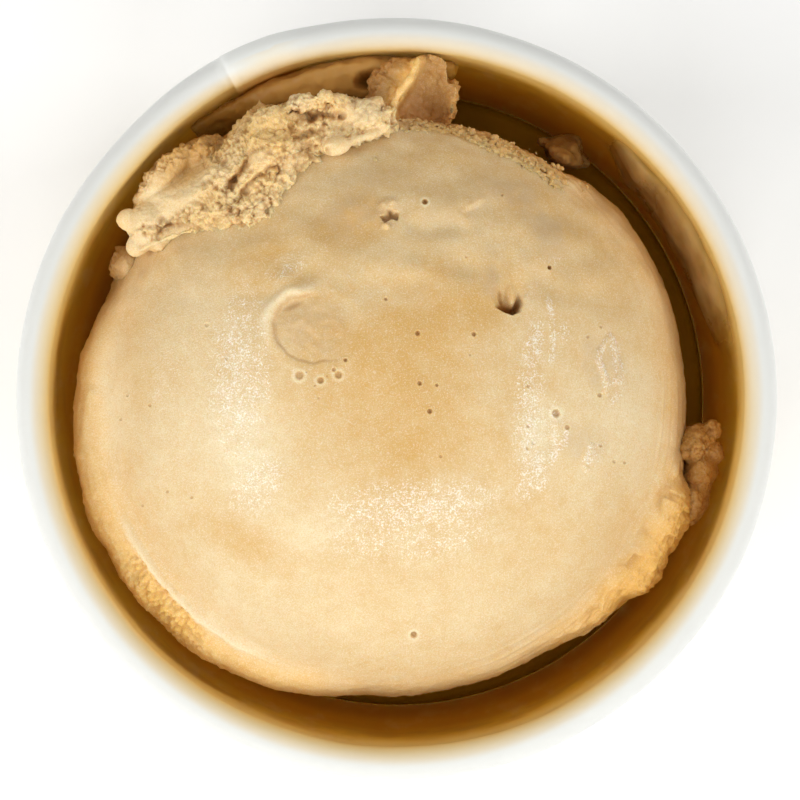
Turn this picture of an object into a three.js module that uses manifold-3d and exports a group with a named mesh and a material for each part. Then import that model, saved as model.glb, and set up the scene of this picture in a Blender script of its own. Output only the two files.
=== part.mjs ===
// A single large scoop of gelato in a small paper cup.
// The cup is a conical paper sidewall with a rolled rim, a lapped side seam and a folded hem,
// closed by a recessed base whose skirt sits inside the hem. The scoop stands on the base.
// Millimetres, +Z up, origin at the centre of the foot.

import * as THREE from 'three';
import { mergeVertices } from 'three/addons/utils/BufferGeometryUtils.js';
import { ImprovedNoise } from 'three/addons/math/ImprovedNoise.js';
import Module from 'manifold-3d';

const wasm = await Module();
wasm.setup();

// ---------------------------------------------------------------- driving dimensions

const cupHeight = 50;
const rimRadius = 38;
const footRadius = 32.5;
const paper = 0.45;
const gap = 0.3;

const curlRadius = 1.65;
const curlStart = 180;
const curlEnd = -105;
const hemHeight = 5.4;
const hemCorner = 0.45;
const floorHeight = 6.5;

// The lapped seam: the inner layer ends at seamAngle, the outer one at seamAngle - lapWidth.
const seamAngle = 117.4;
const lapWidth = 11;
const lapStep = 0.27;
const lapFade = 17;
const rimSwell = 0.43;
const swellBefore = 29;
const swellAfter = 23;
const stepAngle = 0.4;

const scoopX = -0.9;
const scoopY = 0.1;
const scoopRadius = 30;
const equatorHeight = 40;
const domeHeight = 19.5;
const scoopDepth = 32.8;

// ---------------------------------------------------------------- fineness

const wallSegments = 56;
const curlSteps = 9;
const hemSteps = 2;
const scoopDetail = 13;
const clumpDetail = 4;
const smallDetail = 3;

// ---------------------------------------------------------------- small helpers

const radians = THREE.MathUtils.degToRad;
const clamp01 = (value) => THREE.MathUtils.clamp(value, 0, 1);
const ease = (value) => clamp01(value) ** 2 * (3 - 2 * clamp01(value));
const noise = new ImprovedNoise();

// Signed angle in degrees from one direction to another, between -180 and 180.
function turn(from, to) {
  return ((((to - from) % 360) + 540) % 360) - 180;
}

// 1 inside the arc from start to end (degrees, counter-clockwise), easing to 0 over fade.
function arcWindow(angle, start, end, fade) {
  const middle = (start + end) / 2;
  const half = (end - start) / 2;
  return 1 - ease((Math.abs(turn(middle, angle)) - half) / fade);
}

// Points of a circular arc, angles in degrees.
function arc(x, y, radius, from, to, steps) {
  const points = [];
  for (let i = 0; i <= steps; i++) {
    const a = radians(from + ((to - from) * i) / steps);
    points.push(new THREE.Vector2(x + radius * Math.cos(a), y + radius * Math.sin(a)));
  }
  return points;
}

// Positions only, shared vertices merged, triangles without area dropped.
function weld(geometry) {
  geometry.deleteAttribute('normal');
  geometry.deleteAttribute('uv');
  const merged = mergeVertices(geometry, 1e-4);
  const index = merged.index.array;
  const kept = [];
  for (let i = 0; i < index.length; i += 3) {
    const [a, b, c] = [index[i], index[i + 1], index[i + 2]];
    if (a !== b && b !== c && c !== a) kept.push(a, b, c);
  }
  merged.setIndex(kept);
  return merged;
}

function toSolid(geometry) {
  return new wasm.Manifold(new wasm.Mesh({
    numProp: 3,
    vertProperties: Float32Array.from(geometry.attributes.position.array),
    triVerts: Uint32Array.from(geometry.index.array),
  }));
}

function toGeometry(solid) {
  const mesh = solid.getMesh();
  const geometry = new THREE.BufferGeometry();
  geometry.setAttribute('position', new THREE.BufferAttribute(mesh.vertProperties, 3));
  geometry.setIndex(new THREE.BufferAttribute(mesh.triVerts, 1));
  return geometry;
}

// ---------------------------------------------------------------- the cup

const wallTop = cupHeight - curlRadius;
const curlMiddle = rimRadius - curlRadius;
const curlPath = curlRadius - paper / 2;
const topRadius = curlMiddle - curlPath;
const bottomRadius = footRadius - paper / 2;
const hemSpan = 2 * paper + 2 * gap;

// Radius of the middle of the sidewall sheet at a height.
function sheetRadius(z) {
  return bottomRadius + ((topRadius - bottomRadius) * z) / wallTop;
}

// How far the inner and outer faces of the sheet stand proud along the lap.
function innerLap(angle) {
  const behind = turn(angle, seamAngle);
  return behind < 0 ? 0 : lapStep * (1 - ease(behind / lapFade));
}

function outerLap(angle) {
  const past = turn(seamAngle - lapWidth, angle);
  return past < 0 ? 0 : lapStep * (1 - ease(past / lapFade));
}

// The stiff double layer pushes the rolled rim outwards on both sides of the seam.
function swell(angle) {
  const off = turn(seamAngle, angle);
  return rimSwell * (1 - ease(off < 0 ? -off / swellBefore : off / swellAfter));
}

// The middle line of the sheet: up the hem's far side, round the foot, up the wall, round the curl.
function sheetPath() {
  const hemRadius = bottomRadius - hemSpan;
  const low = paper / 2 + hemCorner;
  return [
    new THREE.Vector2(hemRadius, hemHeight),
    ...arc(hemRadius + hemCorner, low, hemCorner, 180, 270, hemSteps),
    ...arc(bottomRadius - hemCorner, low, hemCorner, -90, 0, hemSteps),
    ...arc(curlMiddle, wallTop, curlPath, curlStart, curlEnd, curlSteps),
  ];
}

// A closed outline round a sheet's middle line, with its own thickness on each side.
function thicken(path, left, right) {
  const near = [];
  const far = [];
  path.forEach((point, i) => {
    const before = path[Math.max(i - 1, 0)];
    const after = path[Math.min(i + 1, path.length - 1)];
    const into = point.clone().sub(before).normalize();
    const out = after.clone().sub(point).normalize();
    const along = into.add(out).normalize();
    const half = along.dot(i === 0 ? out : after.clone().sub(before).normalize());
    const normal = new THREE.Vector2(-along.y, along.x).divideScalar(half);
    near.push(point.clone().addScaledVector(normal, left(i)));
    far.push(point.clone().addScaledVector(normal, -right(i)));
  });
  return [...far, ...near.reverse(), far[0].clone()];
}

// Directions at which the sheet is sectioned, doubled up at the two paper edges.
function sectionAngles() {
  const edges = [seamAngle, seamAngle - lapWidth];
  const angles = edges.flatMap((edge) => [edge - stepAngle / 2, edge + stepAngle / 2]);
  for (let i = 0; i < wallSegments; i++) {
    const angle = (i * 360) / wallSegments;
    if (edges.every((edge) => Math.abs(turn(edge, angle)) > 1)) angles.push(angle);
  }
  return angles.sort((a, b) => a - b);
}

const sections = sectionAngles();

// A lathe whose outline may change with the direction.
function revolve(outlineAt) {
  const geometry = new THREE.LatheGeometry(outlineAt(sections[0]), sections.length);
  const position = geometry.attributes.position;
  for (let i = 0; i <= sections.length; i++) {
    const angle = sections[i % sections.length];
    const [c, s] = [Math.cos(radians(angle)), Math.sin(radians(angle))];
    const outline = outlineAt(angle);
    outline.forEach((p, j) => position.setXYZ(i * outline.length + j, p.x * c, p.x * s, p.y));
  }
  return weld(geometry);
}

// The lap's steps fade out at the hem, so that the foot stays flat.
const hemPoints = 1 + 2 * (hemSteps + 1);

function sidewall() {
  const path = sheetPath();
  return revolve((angle) => {
    const lapped = (lap) => (i) => paper / 2 + (i < hemPoints ? 0 : lap);
    const outline = thicken(path, lapped(innerLap(angle)), lapped(outerLap(angle)));
    const push = swell(angle);
    return outline.map((p) => new THREE.Vector2(p.x + push * ease(p.y / cupHeight) ** 2, p.y));
  });
}

// The base: a flat disc with a rounded shoulder and a skirt that hangs inside the hem.
const discEdge = sheetRadius(floorHeight) - paper / 2 - lapStep - gap;
const shoulder = 1;
const skirtFoot = 1;

function base() {
  const low = sheetRadius(skirtFoot) - paper / 2 - gap;
  const under = floorHeight - paper;
  const outline = [
    new THREE.Vector2(0, under),
    ...arc(discEdge - shoulder, floorHeight - shoulder, shoulder - paper, 90, 0, hemSteps),
    new THREE.Vector2(low - paper, skirtFoot),
    new THREE.Vector2(low, skirtFoot),
    ...arc(discEdge - shoulder, floorHeight - shoulder, shoulder, 0, 90, hemSteps + 1),
    new THREE.Vector2(0, floorHeight),
  ];
  return revolve(() => outline);
}

// ---------------------------------------------------------------- the room inside the cup

// Radius of the sidewall's inner face, and of the room that the gelato may fill.
function roomRadius(angle, z) {
  const face = sheetRadius(Math.min(z, wallTop)) - paper / 2 - innerLap(angle);
  return face + swell(angle) * ease(z / cupHeight) ** 2 - gap;
}

const roomTop = cupHeight + 25;
const roomLevels = [floorHeight + gap, 20, 30, 36, 42, wallTop, roomTop];

function room() {
  return revolve((angle) => {
    const side = roomLevels.map((z) => new THREE.Vector2(roomRadius(angle, z), z));
    return [new THREE.Vector2(0, roomLevels[0]), ...side, new THREE.Vector2(0, roomTop)];
  });
}

// ---------------------------------------------------------------- the scoop

// Ledges of gelato that the scoop squeezed out against the wall:
// direction range in degrees, how far they stand out, their height and thickness.
const ledges = [
  { start: 160, end: 240, fade: 22, out: 2.3, height: 40, thick: 5.5 },
  { start: 205, end: 228, fade: 26, out: 1.0, height: 40, thick: 5.0 },
  { start: 322, end: 344, fade: 14, out: 3.0, height: 37, thick: 4.5 },
];

// Dents in the top of the dome, placed from the cup's axis.
const dents = [
  { x: 10.6, y: 11.6, across: 6.5, deep: 1.3 },
  { x: 11.8, y: 9.6, across: 2.6, deep: 2.2 },
  { x: -8.6, y: 7.4, across: 7.6, deep: 0.7 },
  { x: -0.9, y: 18.4, across: 3.4, deep: 0.8 },
  { x: 20.5, y: 4.0, across: 4.0, deep: 0.3 },
];

// Places a point of the unit sphere on the scoop.
function scoopPoint(unit) {
  const point = new THREE.Vector3(
    scoopX + unit.x * scoopRadius,
    scoopY + unit.y * scoopRadius,
    equatorHeight + unit.z * (unit.z > 0 ? domeHeight : scoopDepth),
  );
  const azimuth = THREE.MathUtils.radToDeg(Math.atan2(unit.y, unit.x));
  for (const ledge of ledges) {
    const rise = (point.z - ledge.height) / ledge.thick;
    const ripple = 1 + 0.25 * noise.noise(unit.x * 9, unit.y * 9, unit.z * 5);
    const out = ledge.out * ripple * arcWindow(azimuth, ledge.start, ledge.end, ledge.fade);
    const flat = Math.hypot(unit.x, unit.y);
    const push = (out * Math.exp(-(rise ** 4))) / Math.max(flat, 0.01);
    point.x += unit.x * push;
    point.y += unit.y * push;
  }
  for (const dent of dents) {
    const off = Math.hypot(point.x - dent.x, point.y - dent.y) / (dent.across / 2);
    if (unit.z > 0 && off < 1) point.addScaledVector(unit, -dent.deep * (1 - off * off) ** 2);
  }
  return point;
}

function scoop() {
  const geometry = weld(new THREE.IcosahedronGeometry(1, scoopDetail));
  const position = geometry.attributes.position;
  const unit = new THREE.Vector3();
  for (let i = 0; i < position.count; i++) {
    unit.fromBufferAttribute(position, i).normalize();
    position.setXYZ(i, ...scoopPoint(unit).toArray());
  }
  return geometry;
}

// ---------------------------------------------------------------- clumps on the scoop

// A lumpy ellipsoid, roughened by craggy noise. Sizes are half-widths: radial, along, up.
function clump({ azimuth, radius, height, size, lean = 0, rough = 0.5, detail = clumpDetail }) {
  const geometry = weld(new THREE.IcosahedronGeometry(1, detail));
  const position = geometry.attributes.position;
  const lumpsPerUnit = 1.6;
  const direction = radians(azimuth);
  const centre = new THREE.Vector3(radius * Math.cos(direction), radius * Math.sin(direction), height);
  const spin = new THREE.Matrix4().makeRotationZ(direction);
  spin.multiply(new THREE.Matrix4().makeRotationY(radians(lean)));
  const point = new THREE.Vector3();
  for (let i = 0; i < position.count; i++) {
    point.fromBufferAttribute(position, i).normalize();
    const at = point.clone().multiplyScalar(lumpsPerUnit).add(centre);
    const crag = 1 + (rough * noise.noise(at.x, at.y, at.z)) / Math.min(...size);
    point.set(point.x * size[0], point.y * size[1], point.z * size[2]).multiplyScalar(crag);
    position.setXYZ(i, ...point.applyMatrix4(spin).add(centre).toArray());
  }
  return geometry;
}

// The torn crest: a run of clumps between the dome's shoulder and the wall.
const crestStart = 141.5;
const crestEnd = 99;
const crestCount = 7;

function crest() {
  const clumps = [];
  for (let i = 0; i < crestCount; i++) {
    const t = i / (crestCount - 1);
    const wave = Math.sin(i * 2.3);
    clumps.push({
      azimuth: crestStart + (crestEnd - crestStart) * t,
      radius: 26.6 + 0.5 * wave,
      height: 48.3 + 1.8 * Math.sin(Math.PI * t) + 0.4 * wave,
      size: [5.9 + 0.5 * wave, 4.6, 4.6],
      lean: 14,
      rough: 1.1,
    });
  }
  return clumps;
}

const looseClumps = [
  // Two round lobes that hang over the shoulder at the crest's left end.
  { azimuth: 147.3, radius: 32.2, height: 47.9, size: [1.7, 1.5, 1.4], detail: smallDetail },
  { azimuth: 149.6, radius: 29.2, height: 48.5, size: [1.6, 1.7, 1.5], detail: smallDetail },
  // The scraped end of the crest, running up to the wall, and the smear behind it.
  { azimuth: 88, radius: 30.5, height: 46.2, size: [4.2, 4.6, 4.0], lean: -14, rough: 0.7 },
  { azimuth: 84, radius: 33.4, height: 47.0, size: [1.6, 3.2, 3.4], detail: smallDetail },
  { azimuth: 97, radius: 33.6, height: 46.0, size: [1.3, 6.4, 3.6], detail: smallDetail },
  // A rough chunk wedged between the scoop and the wall.
  { azimuth: 348.5, radius: 30.4, height: 39.1, size: [2.6, 4.2, 3.2], rough: 0.9, detail: smallDetail },
];

function gelato() {
  let solid = toSolid(scoop());
  for (const row of [...crest(), ...looseClumps]) {
    solid = solid.add(toSolid(clump(row)));
  }
  return toGeometry(solid.intersect(toSolid(room())));
}

// ---------------------------------------------------------------- the melted film on the wall

const filmStart = -4;
const filmEnd = 54;
const filmLow = 22;
const filmHigh = 46.5;
const filmThick = 0.8;
const filmAlong = 18;
const filmUp = 6;

// A thin smear on the wall: a flat box whose grid is wrapped onto the room's side.
function wallFilm() {
  const geometry = weld(new THREE.BoxGeometry(1, 1, 1, filmAlong, filmUp, 1));
  const position = geometry.attributes.position;
  for (let i = 0; i < position.count; i++) {
    const across = position.getX(i) + 0.5;
    const up = position.getY(i) + 0.5;
    const angle = filmStart + (filmEnd - filmStart) * across;
    const ragged = 1.6 * noise.noise(across * 7, 0.5, 0.5) - 3 * (2 * across - 1) ** 4;
    const z = filmLow + (filmHigh + ragged - filmLow) * up;
    const thick = filmThick * (1 - 0.55 * up) * (1 + 0.3 * noise.noise(across * 6, up * 3, 3.3));
    const inner = position.getZ(i) < 0;
    const radius = roomRadius(angle, z) - (inner ? thick : 0);
    position.setXYZ(i, radius * Math.cos(radians(angle)), radius * Math.sin(radians(angle)), z);
  }
  return geometry;
}

// ---------------------------------------------------------------- the object

const whitePaper = new THREE.MeshStandardMaterial({ color: '#f2f3ee', roughness: 0.55, metalness: 0 });
const basePaper = new THREE.MeshStandardMaterial({ color: '#e9e6dc', roughness: 0.6, metalness: 0 });
const gelatoFinish = new THREE.MeshStandardMaterial({ color: '#e6c797', roughness: 0.4, metalness: 0 });
const filmFinish = new THREE.MeshStandardMaterial({ color: '#b98d55', roughness: 0.3, metalness: 0 });

function part(name, geometry, material) {
  const mesh = new THREE.Mesh(geometry, material);
  mesh.name = name;
  return mesh;
}

const gelatoCup = new THREE.Group();
gelatoCup.add(
  part('cup_sidewall', sidewall(), whitePaper),
  part('cup_base', base(), basePaper),
  part('gelato', gelato(), gelatoFinish),
  part('wall_film', wallFilm(), filmFinish),
);

export default gelatoCup;
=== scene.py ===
"""One large scoop of gelato in a small white paper cup, seen from straight above."""

import math

import bmesh
import bpy
import numpy as np
from mathutils import Euler, Matrix, Vector, noise


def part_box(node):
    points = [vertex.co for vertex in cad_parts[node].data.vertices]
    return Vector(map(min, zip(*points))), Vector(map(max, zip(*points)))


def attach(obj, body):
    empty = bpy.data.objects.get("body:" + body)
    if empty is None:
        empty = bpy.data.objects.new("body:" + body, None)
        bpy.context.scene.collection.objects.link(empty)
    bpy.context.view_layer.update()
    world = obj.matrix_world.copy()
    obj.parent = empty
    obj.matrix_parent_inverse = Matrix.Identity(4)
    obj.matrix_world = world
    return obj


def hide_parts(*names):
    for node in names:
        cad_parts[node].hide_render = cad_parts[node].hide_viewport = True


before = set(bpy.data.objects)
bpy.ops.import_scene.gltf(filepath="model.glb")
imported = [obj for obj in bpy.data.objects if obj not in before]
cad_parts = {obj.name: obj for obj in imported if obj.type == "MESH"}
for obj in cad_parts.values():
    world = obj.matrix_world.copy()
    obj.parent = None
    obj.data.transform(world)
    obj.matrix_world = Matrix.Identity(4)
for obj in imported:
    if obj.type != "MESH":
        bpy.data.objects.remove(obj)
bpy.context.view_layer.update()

bl_info = {
    "name": "Gelato Cup",
    "version": (1, 0, 0),
    "blender": (4, 5, 0),
    "location": "View3D > Sidebar > Gelato",
    "description": "Makes a paper cup with one scoop of gelato, its torn crest and the melt on the wall",
    "category": "Add Mesh",
}

MM = 0.001
_, CUP_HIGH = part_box("cup_sidewall")
SEAM_DEGREES = 117.4
LENS_ABOVE_RIM = 1000.0
# The least radius, in millimetres, that anything is divided by.
NEAR_AXIS = 0.01


# ---------------------------------------------------------------- sizes and colours

def length(name, description, default):
    return bpy.props.FloatProperty(
        name=name, description=description, default=default * MM,
        subtype="DISTANCE", unit="LENGTH", precision=5,
    )


def number(name, description, default):
    return bpy.props.FloatProperty(name=name, description=description, default=default)


def colour(name, description, default):
    return bpy.props.FloatVectorProperty(
        name=name, description=description, default=default, size=3, subtype="COLOR", min=0.0, max=1.0
    )


class CupSizes(bpy.types.PropertyGroup):
    height: length("Height", "From the foot to the top of the rolled rim", CUP_HIGH.z / MM)
    rim_radius: length("Rim radius", "Outer radius of the rolled rim", 38.0)
    foot_radius: length("Foot radius", "Outer radius of the sidewall at the foot", 32.5)
    paper: length("Paper", "Thickness of the paper", 0.45)
    curl_radius: length("Curl radius", "Outer radius of the rim's roll", 1.65)
    floor_height: length("Floor height", "Top of the recessed base above the foot", 6.5)
    lap_step: length("Lap step", "How far the upper layer of the seam stands proud", 0.27)
    rim_swell: length("Rim swell", "How far the stiff seam pushes the rim outwards", 0.43)


class GelatoSizes(bpy.types.PropertyGroup):
    scoop_radius: length("Scoop radius", "Radius of the scoop seen from above", 30.0)
    dome_height: length("Dome height", "Height of the dome above its widest place", 19.5)
    scoop_depth: length("Scoop depth", "Depth of the scoop below its widest place", 32.8)
    equator_height: length("Widest height", "Height of the scoop's widest place above the foot", 40.0)
    crest_grain: length("Crest grain", "Size of the torn crest's granules", 0.42)


class Finishes(bpy.types.PropertyGroup):
    paper_white: colour("Paper white", "The cup's coated paper", (0.80, 0.81, 0.76))
    base_white: colour("Base paper", "Plain paper of the base", (0.78, 0.76, 0.69))
    # The two stain colours below are mostly painted shade and painted warm light bounced from the gelato on
    # the inner wall, with some melt stain: light under the rim, dark further down.
    stain_light: colour("Light stain", "Thin melt just under the rim", (0.72, 0.45, 0.15))
    stain_dark: colour("Dark stain", "Thicker melt down the wall", (0.65, 0.325, 0.020))
    # Soaked paper: partly melt, partly painted warm shade at the bottom of the cup.
    soaked: colour("Soaked paper", "Paper deep in the cup, brown with melt", (1.0, 0.43, 0.010))
    cream: colour("Cream", "Pale, frosted gelato", (0.81, 0.695, 0.45))
    caramel: colour("Caramel", "Wetter, deeper gelato", (0.64, 0.385, 0.115))
    # Painted glow: golden cream at thin edges and on the ledges stands in for light coming through the
    # gelato; on the crest it is also a golden tone.
    gold: colour("Golden cream", "Cream at thin edges, where light comes through", (0.96, 0.585, 0.125))
    # Painted shade: the dark brown put in pits, cracks, torn hollows and faces turned from the lamps; also
    # the brown of a few real specks.
    hollow: colour("Hollow", "Gelato in pits and torn hollows", (0.38, 0.145, 0.016))
    # Melt colour, pale enough to stand in for light that reaches melt deep in the gap.
    melt: colour("Melt", "Reddish melted film on the wall", (0.92, 0.58, 0.21))


class StageSetup(bpy.types.PropertyGroup):
    sky: number("Sky", "Strength of the even light from all round", 0.42)
    lamps: number("Lamps", "Brightness of all the soft lamps together", 1.0)
    lens: number("Lens", "Focal length of the camera, in millimetres", 451.4)


# ---------------------------------------------------------------- small helpers

def mm(value):
    """A length property in millimetres."""
    return value / MM


def ease(value):
    """0 below 0, 1 above 1 and smooth between."""
    value = np.clip(value, 0.0, 1.0)
    return value * value * (3.0 - 2.0 * value)


def turn(start, end):
    """Signed angle in degrees from one direction to another, between -180 and 180."""
    return (end - start + 180.0) % 360.0 - 180.0


def sight(height):
    """How much wider a place at this height is than it looks from the lens on the rim's plane."""
    rim = CUP_HIGH.z / MM
    return (LENS_ABOVE_RIM + rim - height) / LENS_ABOVE_RIM


def plan_of(points):
    """Where points show on the rim's plane, seen from the lens."""
    return points[:, :2] / sight(points[:, 2])[:, None]


def mound(plan, centre, half, degrees=0.0):
    """1 at the centre of an oval, falling smoothly to 0 at its edge."""
    a = math.radians(degrees)
    x = plan[:, 0] - centre[0]
    y = plan[:, 1] - centre[1]
    along = (x * math.cos(a) + y * math.sin(a)) / half[0]
    across = (y * math.cos(a) - x * math.sin(a)) / half[1]
    return np.clip(1.0 - along * along - across * across, 0.0, 1.0) ** 2


def beside(plan, line):
    """Distance from a drawn line (positive on its left) and how far along it, from 0 to 1."""
    line = np.array(line, float)
    steps = line[1:] - line[:-1]
    lengths = flat_length(steps)
    starts = np.concatenate(([0.0], np.cumsum(lengths)[:-1]))
    near = np.full(len(plan), 1e9)
    side = np.zeros(len(plan))
    share = np.zeros(len(plan))
    for start, step, run, before in zip(line, steps, lengths, starts):
        off = plan - start
        t = np.clip(off @ step / (run * run), 0.0, 1.0)
        gap = off - t[:, None] * step
        distance = flat_length(gap)
        cross = step[0] * off[:, 1] - step[1] * off[:, 0]
        closer = distance < near
        near = np.where(closer, distance, near)
        side = np.where(closer, np.where(cross < 0, -distance, distance), side)
        share = np.where(closer, (before + t * run) / lengths.sum(), share)
    return side, share


def ends_fade(share, fade=0.2):
    """1 along a line, easing to 0 at both of its ends."""
    return ease(share / fade) * ease((1.0 - share) / fade)


def bell(distance, width):
    """1 at no distance, falling smoothly to 0 within a few widths."""
    return np.exp(-((distance / width) ** 2))


def stroke(plan, line, width, fade=0.2):
    """1 along a drawn line, falling smoothly to 0 beside it and at both ends."""
    side, share = beside(plan, line)
    return bell(side, width) * ends_fade(share, fade)


def drawn(values, line):
    """Reads a drawn curve of (place, size) pairs at many places."""
    return np.interp(values, *zip(*line))


def columns(*parts):
    return np.stack(parts, axis=1)


def apart(plan, x, y):
    """How far points show from a place."""
    return np.hypot(plan[:, 0] - x, plan[:, 1] - y)


def flat_length(points):
    """Length of each row's x and y part."""
    return np.hypot(points[:, 0], points[:, 1])


def heading(points):
    """Direction of points round the upright axis, in degrees."""
    return np.degrees(np.arctan2(points[:, 1], points[:, 0]))


def on_circles(degrees, radius, z):
    """Points at these directions, radii and heights."""
    a = np.radians(degrees)
    return columns(radius * np.cos(a), radius * np.sin(a), z)


def patches(plan, table, start=0.0):
    """Adds up oval patches, each given as x, y, half sizes, angle and strength."""
    total = np.full(len(plan), start)
    for x, y, half_x, half_y, degrees, strength in table:
        total += strength * np.sqrt(mound(plan, (x, y), (half_x, half_y), degrees))
    return total


def wavy(points, size, seed):
    """Soft noise between about -1 and 1 whose waves are as long as size."""
    shifted = points / size + np.array((seed * 3.71, seed * 1.93, seed * 5.17))
    return np.array([noise.noise(place) for place in shifted.tolist()])


def knobs(points, size, seed):
    """Rounded granules: 1 on top of each, falling towards 0 where they meet."""
    shifted = points / size + np.array((seed * 2.31, seed * 4.13, seed * 1.77))
    nearest = np.array([noise.voronoi(place)[0][0] for place in shifted.tolist()])
    return 1.0 - np.minimum(nearest * 1.25, 1.0) ** 2


def facets(points, size, seed):
    """Broken planes: each cell of about this size tilts its own way."""
    shifted = points / size + np.array((seed * 1.37, seed * 3.31, seed * 2.63))
    rise = np.empty(len(points))
    for index, place in enumerate(shifted.tolist()):
        near = noise.voronoi(place)[1][0]
        tilt = Vector((math.sin(near.x * 9.1), math.sin(near.y * 7.3), math.sin(near.z * 8.7)))
        rise[index] = tilt.dot(Vector(place) - near)
    return rise * size


def read_points(mesh):
    flat = np.empty(len(mesh.vertices) * 3)
    mesh.vertices.foreach_get("co", flat)
    return flat.reshape(-1, 3)


def read_normals(mesh):
    flat = np.empty(len(mesh.vertices) * 3)
    mesh.vertex_normals.foreach_get("vector", flat)
    return flat.reshape(-1, 3)


def write_points(mesh, points):
    mesh.vertices.foreach_set("co", np.ascontiguousarray(points).ravel())
    mesh.update()


def paint(mesh, **layers):
    """Keeps named numbers of each point, held between 0 and 1, for the material."""
    for name, values in layers.items():
        layer = mesh.attributes.new(name, "FLOAT", "POINT")
        values = np.full(len(mesh.vertices), values)
        layer.data.foreach_set("value", np.clip(values, 0.0, 1.0).astype(np.float32))


def as_mesh(bm, name):
    mesh = bpy.data.meshes.new(name)
    bm.to_mesh(mesh)
    bm.free()
    return mesh


def opened(mesh):
    bm = bmesh.new()
    bm.from_mesh(mesh)
    return bm


def solid_mesh(bm, name):
    """Turns the faces of a closed skin outwards and keeps it as a mesh."""
    bmesh.ops.recalc_face_normals(bm, faces=bm.faces)
    return as_mesh(bm, name)


def place_piece(name, mesh, slot, replaces=()):
    """Puts a mesh made in millimetres into the scene, in metres, riding on the cup."""
    mesh.transform(Matrix.Scale(MM, 4))
    mesh.shade_smooth()
    piece = bpy.data.objects.new(name, mesh)
    bpy.context.scene.collection.objects.link(piece)
    mesh.materials.clear()
    mesh.materials.append(finish(slot))
    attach(piece, "root")
    if replaces:
        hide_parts(*replaces)


# ---------------------------------------------------------------- shader formulas

class Value:
    """A node's output that can be used in a formula like a number."""

    def __init__(self, finish, socket):
        self.finish = finish
        self.socket = socket

    def __add__(self, other):
        return self.finish.math("ADD", self, other)

    def __radd__(self, other):
        return self.finish.math("ADD", other, self)

    def __sub__(self, other):
        return self.finish.math("SUBTRACT", self, other)

    def __rsub__(self, other):
        return self.finish.math("SUBTRACT", other, self)

    def __mul__(self, other):
        return self.finish.math("MULTIPLY", self, other)

    def __rmul__(self, other):
        return self.finish.math("MULTIPLY", other, self)

    def __truediv__(self, other):
        return self.finish.math("DIVIDE", self, other)

    def clamp(self):
        return self.finish.math("ADD", self, 0.0, use_clamp=True)


class Finish:
    """Builds the nodes of one material."""

    def __init__(self, name):
        self.material = bpy.data.materials.new(name)
        self.material.use_nodes = True
        self.tree = self.material.node_tree
        self.surface = self.tree.nodes["Principled BSDF"]
        self.place = self.node("ShaderNodeTexCoord", {}, {}, "Object")

    def node(self, kind, settings, inputs, output=0):
        made = self.tree.nodes.new(kind)
        for name, setting in settings.items():
            setattr(made, name, setting)
        for name, value in inputs.items():
            self.feed(made.inputs[name], value)
        return Value(self, made.outputs[output])

    def feed(self, socket, value):
        if isinstance(value, Value):
            self.tree.links.new(value.socket, socket)
        elif socket.type == "RGBA":
            socket.default_value = (*value, 1.0)
        else:
            socket.default_value = value

    def math(self, operation, first, second, use_clamp=False):
        settings = {"operation": operation, "use_clamp": use_clamp}
        return self.node("ShaderNodeMath", settings, {0: first, 1: second})

    def mix(self, share, first, second):
        return self.node("ShaderNodeMix", {"data_type": "RGBA"}, {0: share, 6: first, 7: second}, 2)

    def height(self):
        """Height above the foot, in millimetres."""
        return self.node("ShaderNodeSeparateXYZ", {}, {"Vector": self.place}, "Z") / MM

    def stretched(self, scale):
        """The piece's place, squeezed by a scale along each axis."""
        return self.node("ShaderNodeMapping", {}, {"Vector": self.place, "Scale": scale})

    def cloud(self, size, detail=3.0, rough=0.5, place=None):
        """Noise about 0.5 whose patches are about size millimetres."""
        inputs = {"Vector": place or self.place, "Scale": 1.0 / (size * MM)}
        inputs.update({"Detail": detail, "Roughness": rough})
        return self.node("ShaderNodeTexNoise", {}, inputs)

    def between(self, value, low, high):
        """0 where a value is under low, 1 over high, smooth between."""
        inputs = {"Value": value, "From Min": low, "From Max": high}
        return self.node("ShaderNodeMapRange", {"interpolation_type": "SMOOTHSTEP"}, inputs)

    def painted(self, name):
        return self.node("ShaderNodeAttribute", {"attribute_name": name}, {}, "Fac")

    def bump(self, height, distance, strength=1.0, below=None):
        inputs = {"Height": height, "Distance": distance * MM, "Strength": strength}
        if below is not None:
            inputs["Normal"] = below
        return self.node("ShaderNodeBump", {}, inputs)

    def set(self, **values):
        for name, value in values.items():
            self.feed(self.surface.inputs[name.replace("_", " ")], value)


def wall_stain(f, tints, height):
    """The brown on the inner wall, light under the rim and deeper further down: some melt stain, but mostly
    painted shade and painted warm light bounced from the gelato.
    """
    streaks = f.cloud(3.2, 4.0, 0.6, f.stretched((1.0, 1.0, 0.16)))
    blotches = f.cloud(6.0, 3.0, 0.55)
    drift = (blotches - 0.5) * 1.6 + (streaks - 0.5) * 1.6
    level = height + drift * f.between(height, 49.8, 46.0)
    deep = f.between(level, 50.0, 37.5)
    tint = f.mix(deep, tints.stain_light, tints.stain_dark)
    tint = f.mix(f.between(streaks, 0.45, 0.75) * 0.30, tint, (0.64, 0.37, 0.10))
    tint = f.mix(f.between(blotches, 0.55, 0.35) * 0.35 * deep, tint, (0.33, 0.125, 0.006))
    # Painted shade: the wall darkens further down, into the gap beside the scoop and towards the base.
    tint = f.mix(f.between(height, 40.0, 24.0) * 0.8, tint, (0.54, 0.205, 0.005))
    tint = f.mix(f.between(height, 24.0, 8.0) * 0.65, tint, (0.26, 0.075, 0.003))
    return tint, f.between(level, 51.1, 48.7), streaks


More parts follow.
